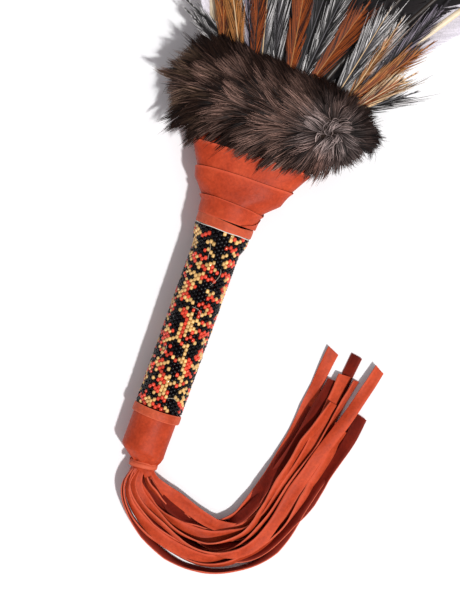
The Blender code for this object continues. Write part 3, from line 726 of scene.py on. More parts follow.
def make_grip():
    folded, plain = np.arange(GRIP_END, GRIP_PLAIN_FROM, 0.55), np.arange(GRIP_PLAIN_FROM, -48.8, 1.2)
    y = np.concatenate([folded, plain, [GRIP_TOP]])
    angles = np.arange(0.0, 360.0, 4.0)
    a, v = np.meshgrid(angles, y)
    centre_x, centre_z, half_x, half_z, power, depth = read(GRIP, v)
    folds = depth * (np.cos(np.radians(a) * GRIP_FOLDS + 0.8 * np.sin(np.radians(a) * 2)) - 0.4)
    base = superellipse(a, centre_x, half_x, half_z, power, v)
    dents = 0.13 * ripple(base * (1, 0.6, 1), 8.0, 31) + 0.05 * ripple(base, 3.0, 33)
    grow = folds + dents - 0.35 * hump(a, SEAM_AT, 2.6)
    points = superellipse(a, centre_x, half_x + grow, half_z + grow, power, v)
    points[..., 2] += centre_z
    inside = superellipse(a, centre_x, half_x - 0.9, half_z - 0.9, power, v)[::-1]
    inside[..., 2] += centre_z[::-1]
    edge = np.repeat((np.arange(2 * len(y)) == len(y) - 1) * 0.4, len(angles))
    attach(red_shell("grip_leather", points, inside, edge), "leather", "grip_sleeve")


def make_neck_tie():
    """A thong wound twice around the neck, with its end tucked under."""
    turns = np.arange(0.0, 720.1, 6.0)
    section = np.radians(np.arange(0, 360, 30))
    rise = -79.2 + turns / 720.0 * 1.7 - 0.6 * np.cos(np.radians(turns))
    grow = 0.25 * np.sin(np.radians(turns * 0.7)) + 0.12 * ripple(np.column_stack([turns, turns]), 60.0, 41)
    rows = []
    for turn in section:
        out = 0.62 * np.cos(turn)
        row = superellipse(turns, 2.45, 6.85 + grow + out, 5.75 + grow + out, 2.1, rise + 1.3 * np.sin(turn))
        row[..., 2] -= 0.5
        rows.append(row)
    edge = np.tile(np.maximum(0, np.cos(section)) * 0.3, len(turns))
    faces = grid_faces(len(turns), len(section), caps=True)
    made = piece("neck_thong", fan(np.stack(rows, 1)), faces, [PALE_LEATHER], edge=edge)
    attach(made, "leather", "neck_tie")


SKIRT_TOP, SKIRT_END = -79.9, -83.6
SKIRT_SLITS = 8


def make_skirt():
    """The uncut top of the fringe, gathered under the thong and slit into strands below."""
    y = np.arange(SKIRT_END, SKIRT_TOP, 0.3)
    angles = np.arange(0.0, 360.0, 4.0)
    a, v = np.meshgrid(angles, y)
    down = (SKIRT_TOP - v) / 6.5
    half_x, half_z = 5.9 + 0.5 * down, 5.0 - 1.6 * down
    slits = 1.2 * down * np.cos(np.radians(a) * SKIRT_SLITS + 0.5)
    middle_x, sink = 2.6 + 1.6 * down, -0.5 - 3.0 * down * 0.4
    half_x, half_z = half_x + slits, half_z + 0.6 * slits
    lobes = v + 2.0 * down * np.cos(np.radians(a) * SKIRT_SLITS)
    points = superellipse(a, middle_x, half_x, half_z, 2.1, lobes)
    points[..., 2] += sink
    inside = superellipse(a, middle_x, half_x - 0.8, half_z - 0.8, 2.1, v)[::-1]
    inside[..., 2] += sink[::-1]
    made = red_shell("fringe_gather", points, inside, np.zeros(2 * a.size))
    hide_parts("fringe_root")
    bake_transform(made)
    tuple(BEND_FROM)
    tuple(BEND_TO)


make_head_wrap()
make_bands()
make_grip()
make_neck_tie()
make_skirt()

# ---------------------------------------------------------------- beadwork

BEAD_TALL, BEAD_WIDE = 2.29, 1.61  # along the handle, and around it, where the hole runs
BEAD_COLUMNS, BEAD_ROWS = 44, 43
BEADS_FROM, BEADS_TO = -48.3, 49.2
BEAD_MIDDLES = 11.45  # radius of the beads' middles where the grip is plain
# Radius of the beadwork along the handle.
BEAD_PROFILE = [(-48.3, 12.6), (37.9, 12.6), (41.4, 13.0), (45.9, 14.6), (48.9, 14.8), (49.9, 14.3)]
BEAD_SHAPE = [(-0.80, 0.62), (-0.75, 0.98), (-0.50, 1.13), (0.50, 1.13), (0.75, 0.98), (0.80, 0.62)]
BEAD_SIDES = 10
# How unevenly the beads sit: along the grip, outward, around it in degrees, tipped, and in size and tint.
UNEVEN = SimpleNamespace(along=0.10, out=0.07, around=0.35, tip=0.07, size=0.035, tint=0.13)
BLACK_BEAD, RED_BEAD, GOLD_BEAD = (0.004, 0.003, 0.004), (0.72, 0.06, 0.028), (0.74, 0.45, 0.16)


def bead_colours(column, row):
    """Patches of black, red and gold, in short runs."""
    x, y = column * BEAD_WIDE, row * BEAD_TALL
    at = np.stack([x, y], -1)
    tall = at * (0.6, 1.0)
    spots = ripple(tall, 4.4, 51) + 0.5 * ripple(tall, 9.0, 52) + RNG.normal(0, 0.20, x.shape)
    kind = ripple(tall, 5.0, 53) + 0.5 * ripple(at, 11.0, 54) + RNG.normal(0, 0.22, x.shape)
    black = spots < -0.02 + 0.12 * smooth((row - 30) / 10)
    return np.where(black, 0, np.where(kind > 0.05, 1, 2))


def make_beads():
    column, row = np.meshgrid(np.arange(BEAD_COLUMNS), np.arange(BEAD_ROWS))
    column, row = column.ravel(), row.ravel()
    kinds = bead_colours(column, row)
    y = BEADS_FROM + BEAD_TALL / 2 + row * BEAD_TALL + (column % 2) * BEAD_TALL / 2
    keep = y < BEADS_TO
    column, row, kinds, y = (v[keep] for v in (column, row, kinds, y))
    count = len(y)
    y = y + RNG.normal(0, UNEVEN.along, count)
    radius = read(BEAD_PROFILE, y)[0] - BEAD_TALL / 2 + RNG.normal(0, UNEVEN.out, count)
    angle = column * 360.0 / BEAD_COLUMNS + RNG.normal(0, UNEVEN.around, count)
    t = np.radians(angle)
    out = np.stack([-np.cos(t), 0 * t, np.sin(t)], -1)
    round_way = np.stack([np.sin(t), 0 * t, np.cos(t)], -1)
    tip = RNG.normal(0, UNEVEN.tip, (count, 1))
    up = unit(np.array([0.0, 1.0, 0.0]) + tip * round_way)
    round_way = unit(round_way - tip * np.array([0.0, 1.0, 0.0]))
    centre = circle(angle, radius, y)
    size = (1 + RNG.normal(0, UNEVEN.size, count)) * (1 + 0.5 * (radius / BEAD_MIDDLES - 1))
    turn = 2 * math.pi * np.arange(BEAD_SIDES) / BEAD_SIDES
    shape = np.array(BEAD_SHAPE)
    across = shape[:, 0][:, None] * np.ones(BEAD_SIDES)
    along, high = shape[:, 1][:, None] * np.sin(turn), shape[:, 1][:, None] * np.cos(turn)
    local = (round_way[:, None, None] * across[None, ..., None] + up[:, None, None] * along[None, ..., None]
             + out[:, None, None] * high[None, ..., None]) * size[:, None, None, None]
    points = (centre[:, None, None] + local).reshape(count, -1, 3)
    one = grid_faces(len(BEAD_SHAPE), BEAD_SIDES, caps=True)
    tints = np.array([BLACK_BEAD, RED_BEAD, GOLD_BEAD])
    for kind, name in enumerate(("black_beads", "red_beads", "gold_beads")):
        chosen = points[kinds == kind]
        per = chosen.shape[1]
        faces = [[i + n * per for i in face] for n in range(len(chosen)) for face in one]
        tint = tints[kind] * np.clip(RNG.normal(1.0, UNEVEN.tint, (len(chosen), 1)), 0.6, 1.4)
        glass = BLACK_GLASS if kind == 0 else GLASS_BEAD
        made = piece(name, fan(chosen), faces, [glass], tint=np.repeat(tint, per, 0))
        attach(made, "beads", "beaded_sleeve")


def tubes(name, lines, radius, sides, tint, mat):
    """Thin round cords along lines of fan-frame points."""
    points, faces, tints, base = [], [], [], 0
    turn = 2 * math.pi * np.arange(sides) / sides
    for line in lines:
        line = np.asarray(line, float)
        ahead = unit(np.gradient(line, axis=0))
        side = unit(np.cross(ahead, (0.13, 0.31, 0.94)))
        top = np.cross(side, ahead)
        spoke = side[:, None] * np.cos(turn)[:, None] + top[:, None] * np.sin(turn)[:, None]
        ring = line[:, None] + radius * spoke
        faces += [[i + base for i in face] for face in grid_faces(len(line), sides, caps=True)]
        points.append(ring.reshape(-1, 3))
        tints.append(np.tile(tint, (ring.shape[0] * sides, 1)))
        base += ring.shape[0] * sides
    return piece(name, fan(np.concatenate(points)), faces, [mat], tint=np.concatenate(tints))


# Loose ends of the beading thread: angle around the grip, y, length, direction in degrees.
THREAD_ENDS = [
    (62, 44, 11, -60), (118, 31, 9, -100), (84, 8, 8, -20), (138, -6, 9, -75), (50, -22, 8, 70),
    (100, -41, 7, 10),
]


def make_threads():
    lines = []
    for angle, y, length, way in THREAD_ENDS:
        s = np.linspace(0, 1, 14)
        a = angle + s * length * math.cos(math.radians(way)) * 4.2 + 5 * np.sin(s * 4)
        v = y + s * length * math.sin(math.radians(way)) + 0.7 * np.sin(s * 5)
        lines.append(circle(a, 12.75 + 0.5 * np.sin(s * 3), v))
    attach(tubes("thread_ends", lines, 0.09, 5, (0.62, 0.52, 0.40), THREAD), "sinew")
    a = np.arange(0.0, 366.0, 6.0)
    whipping = circle(a, 14.62 + 0.05 * np.sin(a), 50.05 + 0.12 * np.sin(a / 9))
    attach(tubes("edge_thread", [whipping], 0.22, 6, (0.78, 0.74, 0.66), THREAD), "sinew")


make_beads()
make_threads()

# ---------------------------------------------------------------- fur

# Sections across the fur roll: share of its length, middle y, half depth, half height.
FUR_SECTIONS = [
    (0.0, 117.5, 2.5, 5.0), (0.03, 119.5, 14.0, 12.0), (0.08, 120.6, 22.0, 17.5),
    (0.16, 120.6, 26.0, 21.2), (0.30, 119.0, 26.4, 23.4), (0.50, 117.2, 26.6, 24.0),
    (0.70, 116.4, 25.2, 23.8), (0.84, 117.6, 21.4, 22.0), (0.93, 119.2, 16.0, 17.6),
    (0.98, 119.8, 9.6, 11.6), (1.0, 120.0, 2.5, 5.0),
]
FUR_LEFT, FUR_RIGHT, FUR_MIDDLE_Z = -50.5, 57.5, 20.5
FUR_POWER = 2.3
PELT = 4.5  # the pelt lies this deep under the ends of the hair
WHORL, WHORL_TURN = 36.2, 0.12  # where the hair parts along the roll, and how far below its crest in radians
WHORL_SPOT, WHORL_SIZE = (35.0, 113.5), (7.0, 7.5)  # its short, pale middle
FUR_DEPTH = 26.6  # the roll's largest half depth
HAIR_TURN = 2.6  # the hair grows this far around from the crest, in radians
HAIR_LENGTH, SHORTEST_HAIR, LONGEST_HAIR = 14.0, 6.0, 22.0
GUARD_SHARE, GUARD_LENGTH = 0.07, 1.35  # a few guard hairs are this much longer
HAIRS = 30000
TUFTS = 1500
HAIR_SHARES = np.linspace(0, 1, 5)[None, :, None]
HAIR_TAPER = np.array([1.0, 1.0, 0.85, 0.55, 0.12])
# The pale colour is real pale tips and also painted highlight over the crest; the last row is a factor of
# painted shade.
DARK_FUR, BROWN_FUR, PALE_TIP_AND_LIT_FUR, TAN_FUR, WHORL_FUR, EDGE_SHADE = np.array([
    (0.003, 0.0013, 0.001), (0.019, 0.0080, 0.0050), (0.31, 0.180, 0.142),
    (0.38, 0.235, 0.150), (0.56, 0.435, 0.41), (0.62, 0.46, 0.40),
])


def pelt(share, turn, depth):
    """A point of the fur roll, depth below its outline. turn runs around the roll from its crest, in radians,
    towards the feathers; the height is above the surface."""
    middle, half, height = read(FUR_SECTIONS, share)
    squeeze = depth * smooth(half / 12.0)
    half, height = np.maximum(half - squeeze, 1.0), np.maximum(height - squeeze, 2.0)
    length = (FUR_RIGHT - FUR_LEFT) / 2 - depth * 0.8
    x = (FUR_LEFT + FUR_RIGHT) / 2 + (share * 2 - 1) * length
    c, s = np.cos(turn), np.sin(turn)
    y = middle + half * np.sign(s) * np.abs(s) ** (2 / FUR_POWER)
    z = FUR_MIDDLE_Z + height * np.sign(c) * np.abs(c) ** (2 / FUR_POWER)
    return np.stack([x, y, np.maximum(z, 0.5)], -1)


def make_pelt():
    share = 0.5 - 0.5 * np.cos(math.pi * np.arange(37) / 36)
    turn = np.radians(np.arange(0.0, 360.0, 7.5))
    t, w = np.meshgrid(turn, share)
    points = pelt(w, t, PELT + 0.3)
    points = points + 0.5 * ripple(points, 7.0, 61)[..., None] * (0, 0.6, 0.6)
    points[..., 2] = np.maximum(points[..., 2], 0.4)
    tint = np.tile((0.020, 0.012, 0.009), (points.shape[0] * points.shape[1], 1))
    made = piece("fur_pelt", lying(points), grid_faces(len(share), len(turn), caps=True), [SKIN], tint=tint)
    attach(made, "fur", "fur_collar")


def fur_frame(share, turn, depth):
    """The point, the ways along the roll and around it away from the crest, and outward."""
    here = pelt(share, turn, depth)
    before, after = np.clip(share - 0.004, 0, 1), np.clip(share + 0.004, 0, 1)
    along = unit(pelt(after, turn, depth) - pelt(before, turn, depth))
    around = unit(pelt(share, turn + 0.02, depth) - pelt(share, turn - 0.02, depth))
    out = unit(np.cross(around, along))
    middle = pelt(share, turn * 0, depth)
    middle[..., 2] = FUR_MIDDLE_Z
    middle[..., 1] = read(FUR_SECTIONS, share)[0]
    out = out * np.sign((out * (here - middle)).sum(-1, keepdims=True) + 1e-9)
    return here, along, around, out


def flow_at(here, along, around, turn):
    """Which way the hair lies: away from the whorl, and down both sides of the roll."""
    sideways = np.clip((here[..., 0] - WHORL) / 16.0, -1.0, 1.0)[..., None]
    over = (np.sin(turn + WHORL_TURN) * 1.15)[..., None]
    front = smooth(-np.sin(turn) * 1.2)[..., None]
    way = along * sideways * (0.95 - 0.35 * front) + around * over
    way = way + ripple(here, 12.0, 63)[..., None] * around * 0.45
    way = way + ripple(here, 9.0, 64)[..., None] * along * 0.35
    return unit(way)


def hair_roots():
    """Where the hairs stand: the share of the roll's length, and the turn around it."""
    share = RNG.uniform(0, 1, HAIRS * 2)
    half = read(FUR_SECTIONS, share)[1] / FUR_DEPTH
    keep = RNG.uniform(0, 1, len(share)) < 0.15 + half * 0.85
    share = share[keep][:HAIRS]
    end = RNG.uniform(0, 1, len(share))
    share = np.where(end < 0.06, share * 0.1, np.where(end > 0.94, 1 - share * 0.1, share))
    return share, RNG.uniform(-HAIR_TURN, HAIR_TURN, len(share))


def nearest(points, chosen):
    """For every point, which of the chosen ones is nearest."""
    near, at_once = np.empty(len(points), int), 4000
    for start in range(0, len(points), at_once):
        apart = points[start:start + at_once, None] - points[chosen][None]
        near[start:start + at_once] = chosen[np.argmin((apart**2).sum(-1), 1)]
    return near


def whorl_at(x, y):
    """1 in the middle of the whorl, where the hair is short and pale."""
    (middle_x, middle_y), (half_x, half_y) = WHORL_SPOT, WHORL_SIZE
    return np.exp(-(((x - middle_x) / half_x) ** 2) - (((y - middle_y) / half_y) ** 2))


def hair_lines(share, turn):
    """The hairs' roots, the ways outward, the hair that each leans to, and the hairs' lines."""
    here, along, around, out = fur_frame(share, turn, PELT)
    x, y, z = here.T
    count = len(share)
    way = flow_at(here, along, around, turn)
    # The hair stands up more where it parts.
    parting = hump(x, WHORL, 7.0)
    lift = 0.36 + 0.30 * parting + 0.14 * ripple(here, 6.0, 65)
    lift = lift + RNG.normal(0, 0.06, count)
    # It hangs over the leather below, and it is longer there.
    over_head = smooth((110.0 - y) / 9.0) * smooth((z - 23.0) / 5.0)
    length = HAIR_LENGTH + 2.5 * ripple(here, 11.0, 66) + RNG.normal(0, 2.2, count)
    length = length * (1 - 0.3 * parting)
    guard = RNG.uniform(0, 1, count) < GUARD_SHARE
    length = np.where(guard, length * GUARD_LENGTH, length)
    hanging = over_head * smooth(ripple(here, 9.0, 72) * 1.8 + 0.55)
    at_left = smooth((-30.0 - x) / 14.0)
    more = 1 + 0.40 * hanging + 0.15 * at_left - 0.30 * whorl_at(x, y)
    length = (np.clip(length, SHORTEST_HAIR, LONGEST_HAIR) * more)[:, None, None]
    way = way + over_head[:, None] * np.array((-0.35, -1.25, -0.10))
    way = unit(way + RNG.normal(0, 0.09, way.shape))
    near = nearest(here, RNG.integers(0, count, TUFTS))
    s = HAIR_SHARES
    rise = lift[:, None, None] * (1 - 0.55 * s)
    lines = here[:, None] + (way[:, None] + out[:, None] * rise) * (length * s) * 0.95
    lines = lines - out[:, None] * (s**2) * (0.30 * length) * 0.25
    pull = (0.55 * s**1.4) * (1 + RNG.normal(0, 0.15, (count, 1, 1)))
    lines = lines + (lines[near] - lines) * pull
    lines[..., 2] = np.maximum(lines[..., 2], 0.35)
    return here, out, near, lines


def hair_tints(here, near):
    """Dark brown with patches of pale tips and a pale whorl; the crest is made paler as painted highlight,
    and the right end and lower right side are made nearly black as painted shade.
    """
    x, y, _ = here.T
    patch = ripple(here, 18.0, 67) + 0.6 * ripple(here[near], 6.0, 68) + RNG.normal(0, 0.30, len(here))
    # Painted highlight mixed with real pale tips: the crest, which faces up to the light, is made paler in
    # patches, and less so towards both ends.
    crest = hump(y - 111.0 - 0.10 * (WHORL - x), 0.0, 12.5)
    pale = np.clip(crest * (0.47 + 1.7 * patch) - 0.60 * smooth((-20.0 - x) / 16.0), 0, 1)
    pale = pale * smooth((40.0 - x) / 10.0 + 0.35)
    streaks = smooth(ripple(here * (0.35, 1.6, 1.0), 8.0, 69) * 2.0 + 0.3)
    left = smooth((-18.0 - x) / 14.0) * streaks * crest
    tip = lerp(BROWN_FUR, PALE_TIP_AND_LIT_FUR, pale[:, None])
    tip = lerp(tip, TAN_FUR, left[:, None] * 0.42)
    tip = lerp(tip, WHORL_FUR, whorl_at(x, y)[:, None] * 0.9)
    # Painted shade: the right end of the roll and its lower right side, above the head, are darkened.
    low_right = smooth((x - 22.0) / 8.0) * smooth((113.0 - y) / 8.0)
    shade = np.maximum(smooth((x - 43.0) / 6.0), 0.75 * low_right)
    tip = tip * lerp(1.0, EDGE_SHADE, shade[:, None])
    root = lerp(DARK_FUR, tip * 0.25, 0.35)
    tint = lerp(root[:, None], tip[:, None], np.clip(HAIR_SHARES * 1.15, 0, 1) ** 1.7)
    tint = tint * np.clip(1 + RNG.normal(0, 0.45, (len(here), 1, 1)), 0.15, 2.4)
    return np.maximum(tint, 0.002)


def make_hair():
    here, out, near, lines = hair_lines(*hair_roots())
    count = len(lines)
    ahead = unit(np.gradient(lines, axis=1))
    side = unit(np.cross(ahead, out[:, None] + 0.35 * RNG.normal(0, 1, (count, 1, 3))))
    width = (0.25 + 0.12 * RNG.uniform(0, 1, (count, 1))) * HAIR_TAPER
    tint = hair_tints(here, near)
    third = RNG.integers(0, 3, count)
    for k in range(3):
        mine = third == k
        points, faces = strip_mesh(lying(lines[mine]), side[mine], width[mine] * MM)
        both_sides = np.repeat(tint[mine].reshape(-1, 3), 2, 0)
        made = piece(f"fur_hair_{k + 1}", points, faces, [HAIR], tint=both_sides)
        attach(made, "fur", "fur_collar")


make_pelt()
make_hair()

# ---------------------------------------------------------------- feathers

FEATHERS = 11
QUILL_BASE_Y, COLLAR_TOP_Y = 101.0, 147.0
QUILL_BASE_X, QUILL_EXIT_X = (-22.5, 21.5), (-40.0, 42.0)
FEATHER_ANGLES, FEATHER_LENGTHS = (-21.0, 33.7), (262.0, 290.0)
LAYER_STEP = 1.6
DROOP, DROOP_SPAN = 26.0, 270.0
# Half width of the vane at shares of the feather's length.
VANE = [
    (0.14, 0.5), (0.16, 4.0), (0.20, 12.0), (0.30, 18.0), (0.46, 23.0), (0.62, 25.5), (0.76, 25.0),
    (0.87, 20.5), (0.95, 12.0), (0.995, 3.0), (1.0, 1.5),
]
# The quill's half width and half height at shares of its length.
WHITE_SHAFT = [(0.0, 0.5, 0.8), (0.02, 1.6, 1.5), (0.13, 2.2, 1.3), (0.3, 1.9, 1.0), (1.0, 0.35, 0.3)]
BLACK_SHAFT = [(0.0, 0.5, 0.8), (0.02, 1.6, 1.5), (0.13, 1.6, 1.1), (0.3, 1.2, 0.8), (1.0, 0.3, 0.3)]
HACKLE_SHAFT = [(0.0, 0.4, 0.4), (1.0, 0.15, 0.15)]
# Barbs of a main feather and of a hackle: where the first one is, their spacing, slant in degrees, ragged
# ends, curl and width, how far their ends rise, and how much their tints differ.
VANE_BARBS = SimpleNamespace(
    start=40.0, spacing=1.15, slant=42.0, ragged=0.025, curl=0.30, width=1.75, lift=0.0, contrast=0.07,
)
HACKLE_BARBS = SimpleNamespace(
    start=2.0, spacing=0.60, slant=14.0, ragged=0.25, curl=0.10, width=0.42, lift=0.3, contrast=0.30,
)


def droop(x, y):
    along = np.maximum(0.0, y - 120.0) / DROOP_SPAN
    return DROOP * along**2 + 6.0 * (x / 180.0) ** 2 * smooth(along * 3.0)


def fan_middle_x(y):
    return 1.0 + (y - COLLAR_TOP_Y) * math.tan(math.radians(sum(FEATHER_ANGLES) / 2))


def feather_height(layer, x, y):
    return 1.6 + layer * smooth((y - 116.0) / 24.0) - droop(x, y)


def hackle_height(layer, x, y):
    beside = np.maximum(0.0, np.abs(x - fan_middle_x(y)) - 14.0)
    return 7.4 + layer - 0.15 * beside - droop(x, y)


def quill_line(base_x, exit_x, angle, length):
    """Points of a main feather's quill at distances from its root, as a function."""
    start, leave = np.array((base_x, QUILL_BASE_Y)), np.array((exit_x, COLLAR_TOP_Y))
    way = np.array((math.sin(angle), math.cos(angle)))
    side = np.array((way[1], -way[0]))
    span = float(np.linalg.norm(leave - start))
    pull = (start + leave) / 2 * 0.35 + (leave - way * span * 0.5) * 0.65
    bow = 5.0 * math.copysign(1.0, exit_x - 1.0) * min(1.0, abs(exit_x - 1.0) / 30.0)

    def at(distance):
        d = np.asarray(distance, float)[..., None]
        t = np.clip(d / span, 0, 1)
        inside = start * (1 - t) ** 2 + pull * 2 * t * (1 - t) + leave * t * t
        beyond = np.maximum(d - span, 0)
        return inside + way * beyond + side * bow * (beyond / (length - span)) ** 2

    return at


def shaft(at, height, distances, half, rise):
    """A quill: an eight-sided rod along at(distances), its half width and half height tapering."""
    middle = at(distances)
    ahead = unit(np.gradient(middle, distances, axis=0))
    side = np.stack([ahead[:, 1], -ahead[:, 0]], 1)
    z = height(middle[:, 0], middle[:, 1])
    rings = []
    for turn in np.radians(np.arange(0, 360, 45)):
        place = middle + side * (half * math.cos(turn))[:, None]
        rings.append(np.column_stack([place, z + rise * math.sin(turn)]))
    points = np.stack(rings, 1)
    return points.reshape(-1, 3), grid_faces(len(distances), 8, caps=True)


BARB_TILT = 0.22
BARBS_OVER_QUILL = 0.02


def barbs(at, height, roots, sign, reach, slant, width, curl, lift):
    """Barbs on one side of a quill, as flat strips. roots are distances along it, reach how far out each
    goes, slant its angle from the quill in radians; curl bends it to the tip, lift raises its far end."""
    s = np.linspace(0, 1, 5)[None]
    ahead = unit(at(roots + 0.5) - at(roots - 0.5))
    side = np.stack([ahead[:, 1], -ahead[:, 0]], 1) * sign
    out = reach[:, None] * (s - curl * s**2 * 0.15)
    fore = reach[:, None] / np.tan(slant)[:, None] * (s + curl * s**2)
    line = at(roots)[:, None] + side[:, None] * out[..., None] + ahead[:, None] * fore[..., None]
    z = height(line[..., 0], line[..., 1]) + lift[:, None] * s**1.5
    points = np.concatenate([line, z[..., None]], -1)
    across = unit(np.cross(unit(np.gradient(points, axis=1)), (0.0, 0.0, 1.0)))
    across = unit(across + np.array((0.0, 0.0, BARB_TILT * sign)))
    return points, across, width[:, None] * np.clip(1.08 - 0.85 * s**2.2, 0.08, 1.0)


def vane_side(at, height, length, vane, kind, sign, narrow, tint_at, dark_share):
    """The barbs on one side of a quill: lines, ways across, widths in metres and a tint for each point."""
    roots = np.arange(kind.start, length * 0.985, kind.spacing)
    count = len(roots)
    roots = roots + RNG.normal(0, kind.spacing * 0.15, count)
    along = roots / length
    # The vane's outline is met where the barb ends, further along than its root.
    ends = read(vane, np.clip((roots + 8.0) / length, 0, 1))[0]
    ends = ends * lerp(narrow, 1.0, smooth((along - 0.30) / 0.25))
    reach = np.maximum(ends * (1 + RNG.normal(0, kind.ragged, count)), 0.4)
    slant = np.radians(kind.slant) * (1 - 0.45 * smooth((along - 0.8) / 0.2))
    slant = np.clip(slant + RNG.normal(0, 0.035, count), 0.12, 1.4)
    width = kind.width * (1 + RNG.normal(0, 0.12, count))
    lift = kind.lift + RNG.normal(0, 0.12, count)
    line, across, widths = barbs(at, height, roots, sign, reach, slant, width, kind.curl, lift)
    s = np.linspace(0, 1, line.shape[1])[None] * np.ones((count, 1))
    tint = tint_at(along[:, None] * np.ones_like(s), s, sign)
    tint = tint * np.clip(1 + RNG.normal(0, kind.contrast, (count, 1, 1)), 0.12, 1.5)
    tint = np.where(RNG.uniform(0, 1, (count, 1, 1)) < dark_share, tint * 0.10, tint)
    line[..., 2] += BARBS_OVER_QUILL
    return fan(line), across, widths * MM, np.maximum(tint, 0.003)


def build_feather(name, at, height, length, vane, shaft_shape, kind, tint_at, quill_tint, mat,
                  narrow=(1.0, 1.0), dark_share=0.0):
    """A quill with barbs on both sides, coloured by tint_at(share along, share out, side). narrow is how
    much of the vane's width the left and the right side have near the quill's root."""
    distances = np.linspace(0, 1, 36) * length
    half, rise = read(shaft_shape, distances / length)
    points, faces = shaft(at, height, distances, half, rise)
    points, tints, kinds = [fan(points)], [np.tile(quill_tint, (len(points), 1))], [0] * len(faces)
    for sign, part in zip((-1, 1), narrow):
        *strip, tint = vane_side(at, height, length, vane, kind, sign, part, tint_at, dark_share)
        strips, quads = strip_mesh(*strip)
        faces += (quads + sum(len(p) for p in points)).tolist()
        kinds += [1] * len(quads)
        points.append(strips)
        tints.append(np.repeat(tint.reshape(-1, 3), 2, 0))
    return piece(name, np.concatenate(points), faces, [QUILL, mat], kinds, tint=np.concatenate(tints))


def plain_tint(inner, outer):
    inner, outer = np.array(inner), np.array(outer)

    def tint(along, out, sign):
        return lerp(inner, outer, smooth(out)[..., None])

    return tint


def make_feathers():
    white = (WHITE_SHAFT, VANE_BARBS, plain_tint((0.62, 0.58, 0.62), (0.80, 0.76, 0.82)),
             (0.80, 0.66, 0.46), BARB)
    black = (BLACK_SHAFT, VANE_BARBS, plain_tint((0.010, 0.009, 0.010), (0.018, 0.015, 0.015)),
             (0.035, 0.025, 0.02), GLOSSY_BARB)
    middle = (FEATHERS - 1) / 2
    for i in range(FEATHERS):
        t = i / (FEATHERS - 1)
        looks, slot = (white, "white_feather") if i in (0, FEATHERS - 1) else (black, "black_feather")
        beside = abs(i - middle) + (0.5 if i > middle else 0.0)
        layer = (middle / 2 - beside) * LAYER_STEP
        length = lerp(*FEATHER_LENGTHS, math.cos((t - 0.5) * math.pi))
        angle = math.radians(lerp(*FEATHER_ANGLES, t))
        at = quill_line(lerp(*QUILL_BASE_X, t), lerp(*QUILL_EXIT_X, t), angle, length)
        slim = 1.0 - 0.55 * min(1.0, abs(i - middle) / 4.0)
        narrow = (1.0, slim) if i > middle else (slim, 1.0)
        node = f"feather_{i + 1:02d}"
        height = partial(feather_height, layer)
        attach(build_feather(f"{node}_vane", at, height, length, VANE, *looks, narrow=narrow), slot, node)


# ---------------------------------------------------------------- hackles

HACKLE_VANE = [(0.0, 1.6), (0.12, 3.5), (0.3, 5.3), (0.5, 5.7), (0.7, 4.6), (0.88, 2.2), (1.0, 0.4)]
WHITE, GREY, DARK = (0.55, 0.53, 0.52), (0.08, 0.075, 0.08), (0.008, 0.006, 0.006)
RUST, GOLD, CREAM, MAUVE = (0.22, 0.045, 0.006), (0.34, 0.135, 0.035), (0.62, 0.43, 0.24), (0.20, 0.17, 0.21)
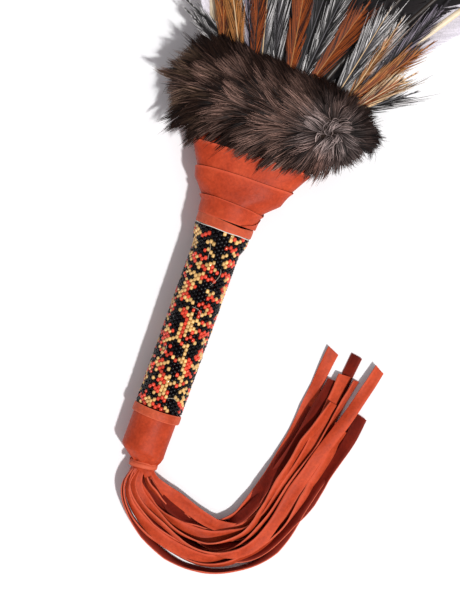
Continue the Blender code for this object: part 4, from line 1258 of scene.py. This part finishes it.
# Root x and y, degrees, length, layer, breadth, share of dark barbs, tint beside the quill, tint at the edge,
# quill's tint, material slot.
HACKLES = [
    (-22.0, 139.0, -66.0, 41.0, 0, 0.50, 0.58, DARK, WHITE, DARK, "grey_hackle"),
    (-28.0, 135.5, -60.0, 33.0, 2, 0.50, 0.48, DARK, WHITE, DARK, "grey_hackle"),
    (-28.5, 130.0, -19.0, 62.0, 1, 0.75, 0.28, RUST, GOLD, GOLD, "tan_hackle"),
    (-18.5, 130.0, -26.0, 70.0, 2, 0.85, 0.33, GOLD, GOLD, CREAM, "tan_hackle"),
    (-13.0, 130.0, -23.0, 74.0, 0, 0.95, 0.38, MAUVE, WHITE, DARK, "grey_hackle"),
    (-12.3, 130.0, -15.0, 66.0, 2, 0.70, 0.33, RUST, RUST, DARK, "rust_hackle"),
    (-8.0, 129.0, -15.0, 72.0, 1, 0.80, 0.48, GREY, WHITE, CREAM, "grey_hackle"),
    (0.0, 128.0, -17.0, 80.0, 0, 1.05, 0.48, GREY, WHITE, DARK, "grey_hackle"),
    (6.5, 128.0, -9.0, 84.0, 1, 0.95, 0.21, RUST, RUST, GOLD, "rust_hackle"),
    (9.6, 128.0, -2.0, 82.0, 0, 0.90, 0.60, DARK, GREY, GREY, "grey_hackle"),
    (11.5, 129.0, 6.0, 76.0, 1, 0.80, 0.58, DARK, WHITE, GREY, "grey_hackle"),
    (14.8, 130.0, 16.0, 58.0, 0, 0.95, 0.23, RUST, RUST, GOLD, "rust_hackle"),
    (29.5, 126.0, 13.0, 64.0, 1, 0.95, 0.43, GREY, WHITE, CREAM, "grey_hackle"),
    (34.8, 125.0, 15.0, 63.0, 0, 0.95, 0.38, GOLD, WHITE, CREAM, "grey_hackle"),
    (37.5, 125.0, 23.0, 86.0, 1, 0.70, 0.50, DARK, MAUVE, DARK, "grey_hackle"),
    (33.0, 126.0, 35.0, 64.0, 2, 0.75, 0.28, RUST, GOLD, GOLD, "rust_hackle"),
    (38.0, 126.0, 38.0, 44.0, 3, 0.80, 0.23, RUST, CREAM, CREAM, "rust_hackle"),
    (36.5, 125.0, 51.0, 43.0, 0, 0.85, 0.53, DARK, WHITE, GREY, "grey_hackle"),
]
HACKLE_STEP = 1.1


def hackle_tint(inner, outer):
    inner, outer = np.array(inner), np.array(outer)

    def tint(along, out, sign):
        streak = np.sin(along * 190.0 + sign * 2.0) * 0.5 + 0.5
        share = smooth((out - 0.35 + 0.5 * (streak - 0.5)) * 2.2)
        base = lerp(inner, outer, share[..., None])
        return base * (0.82 + 0.36 * streak[..., None])

    return tint


def hackle_line(start, angle, length):
    """Points of a hackle's quill at distances from its root, as a function."""
    way = np.array((math.sin(angle), math.cos(angle)))
    side = np.array((way[1], -way[0]))
    bow = RNG.normal(0, 1.0)

    def at(distance):
        d = np.asarray(distance, float)[..., None]
        return start + way * d + side * bow * (d / length) ** 2

    return at


def make_hackles():
    for number, row in enumerate(HACKLES, 1):
        x, y, turn, length, layer, breadth, dark, inner, outer, quill, slot = row
        at = hackle_line(np.array((x, y)), math.radians(turn), length)
        height = partial(hackle_height, layer * HACKLE_STEP)
        vane = [(share, half * breadth) for share, half in HACKLE_VANE]
        node = f"hackle_{number:02d}"
        made = build_feather(f"{node}_barbs", at, height, length, vane, HACKLE_SHAFT, HACKLE_BARBS,
                             hackle_tint(inner, outer), quill, BARB, dark_share=dark)
        attach(made, slot, node)


make_feathers()
make_hackles()

# ---------------------------------------------------------------- inside pieces, finish

paint_node("handle_core", WOOD)
paint_node("quill_binding", SINEW)
paint_node("handle_liner", FLESH_SIDE_AND_SHADE)
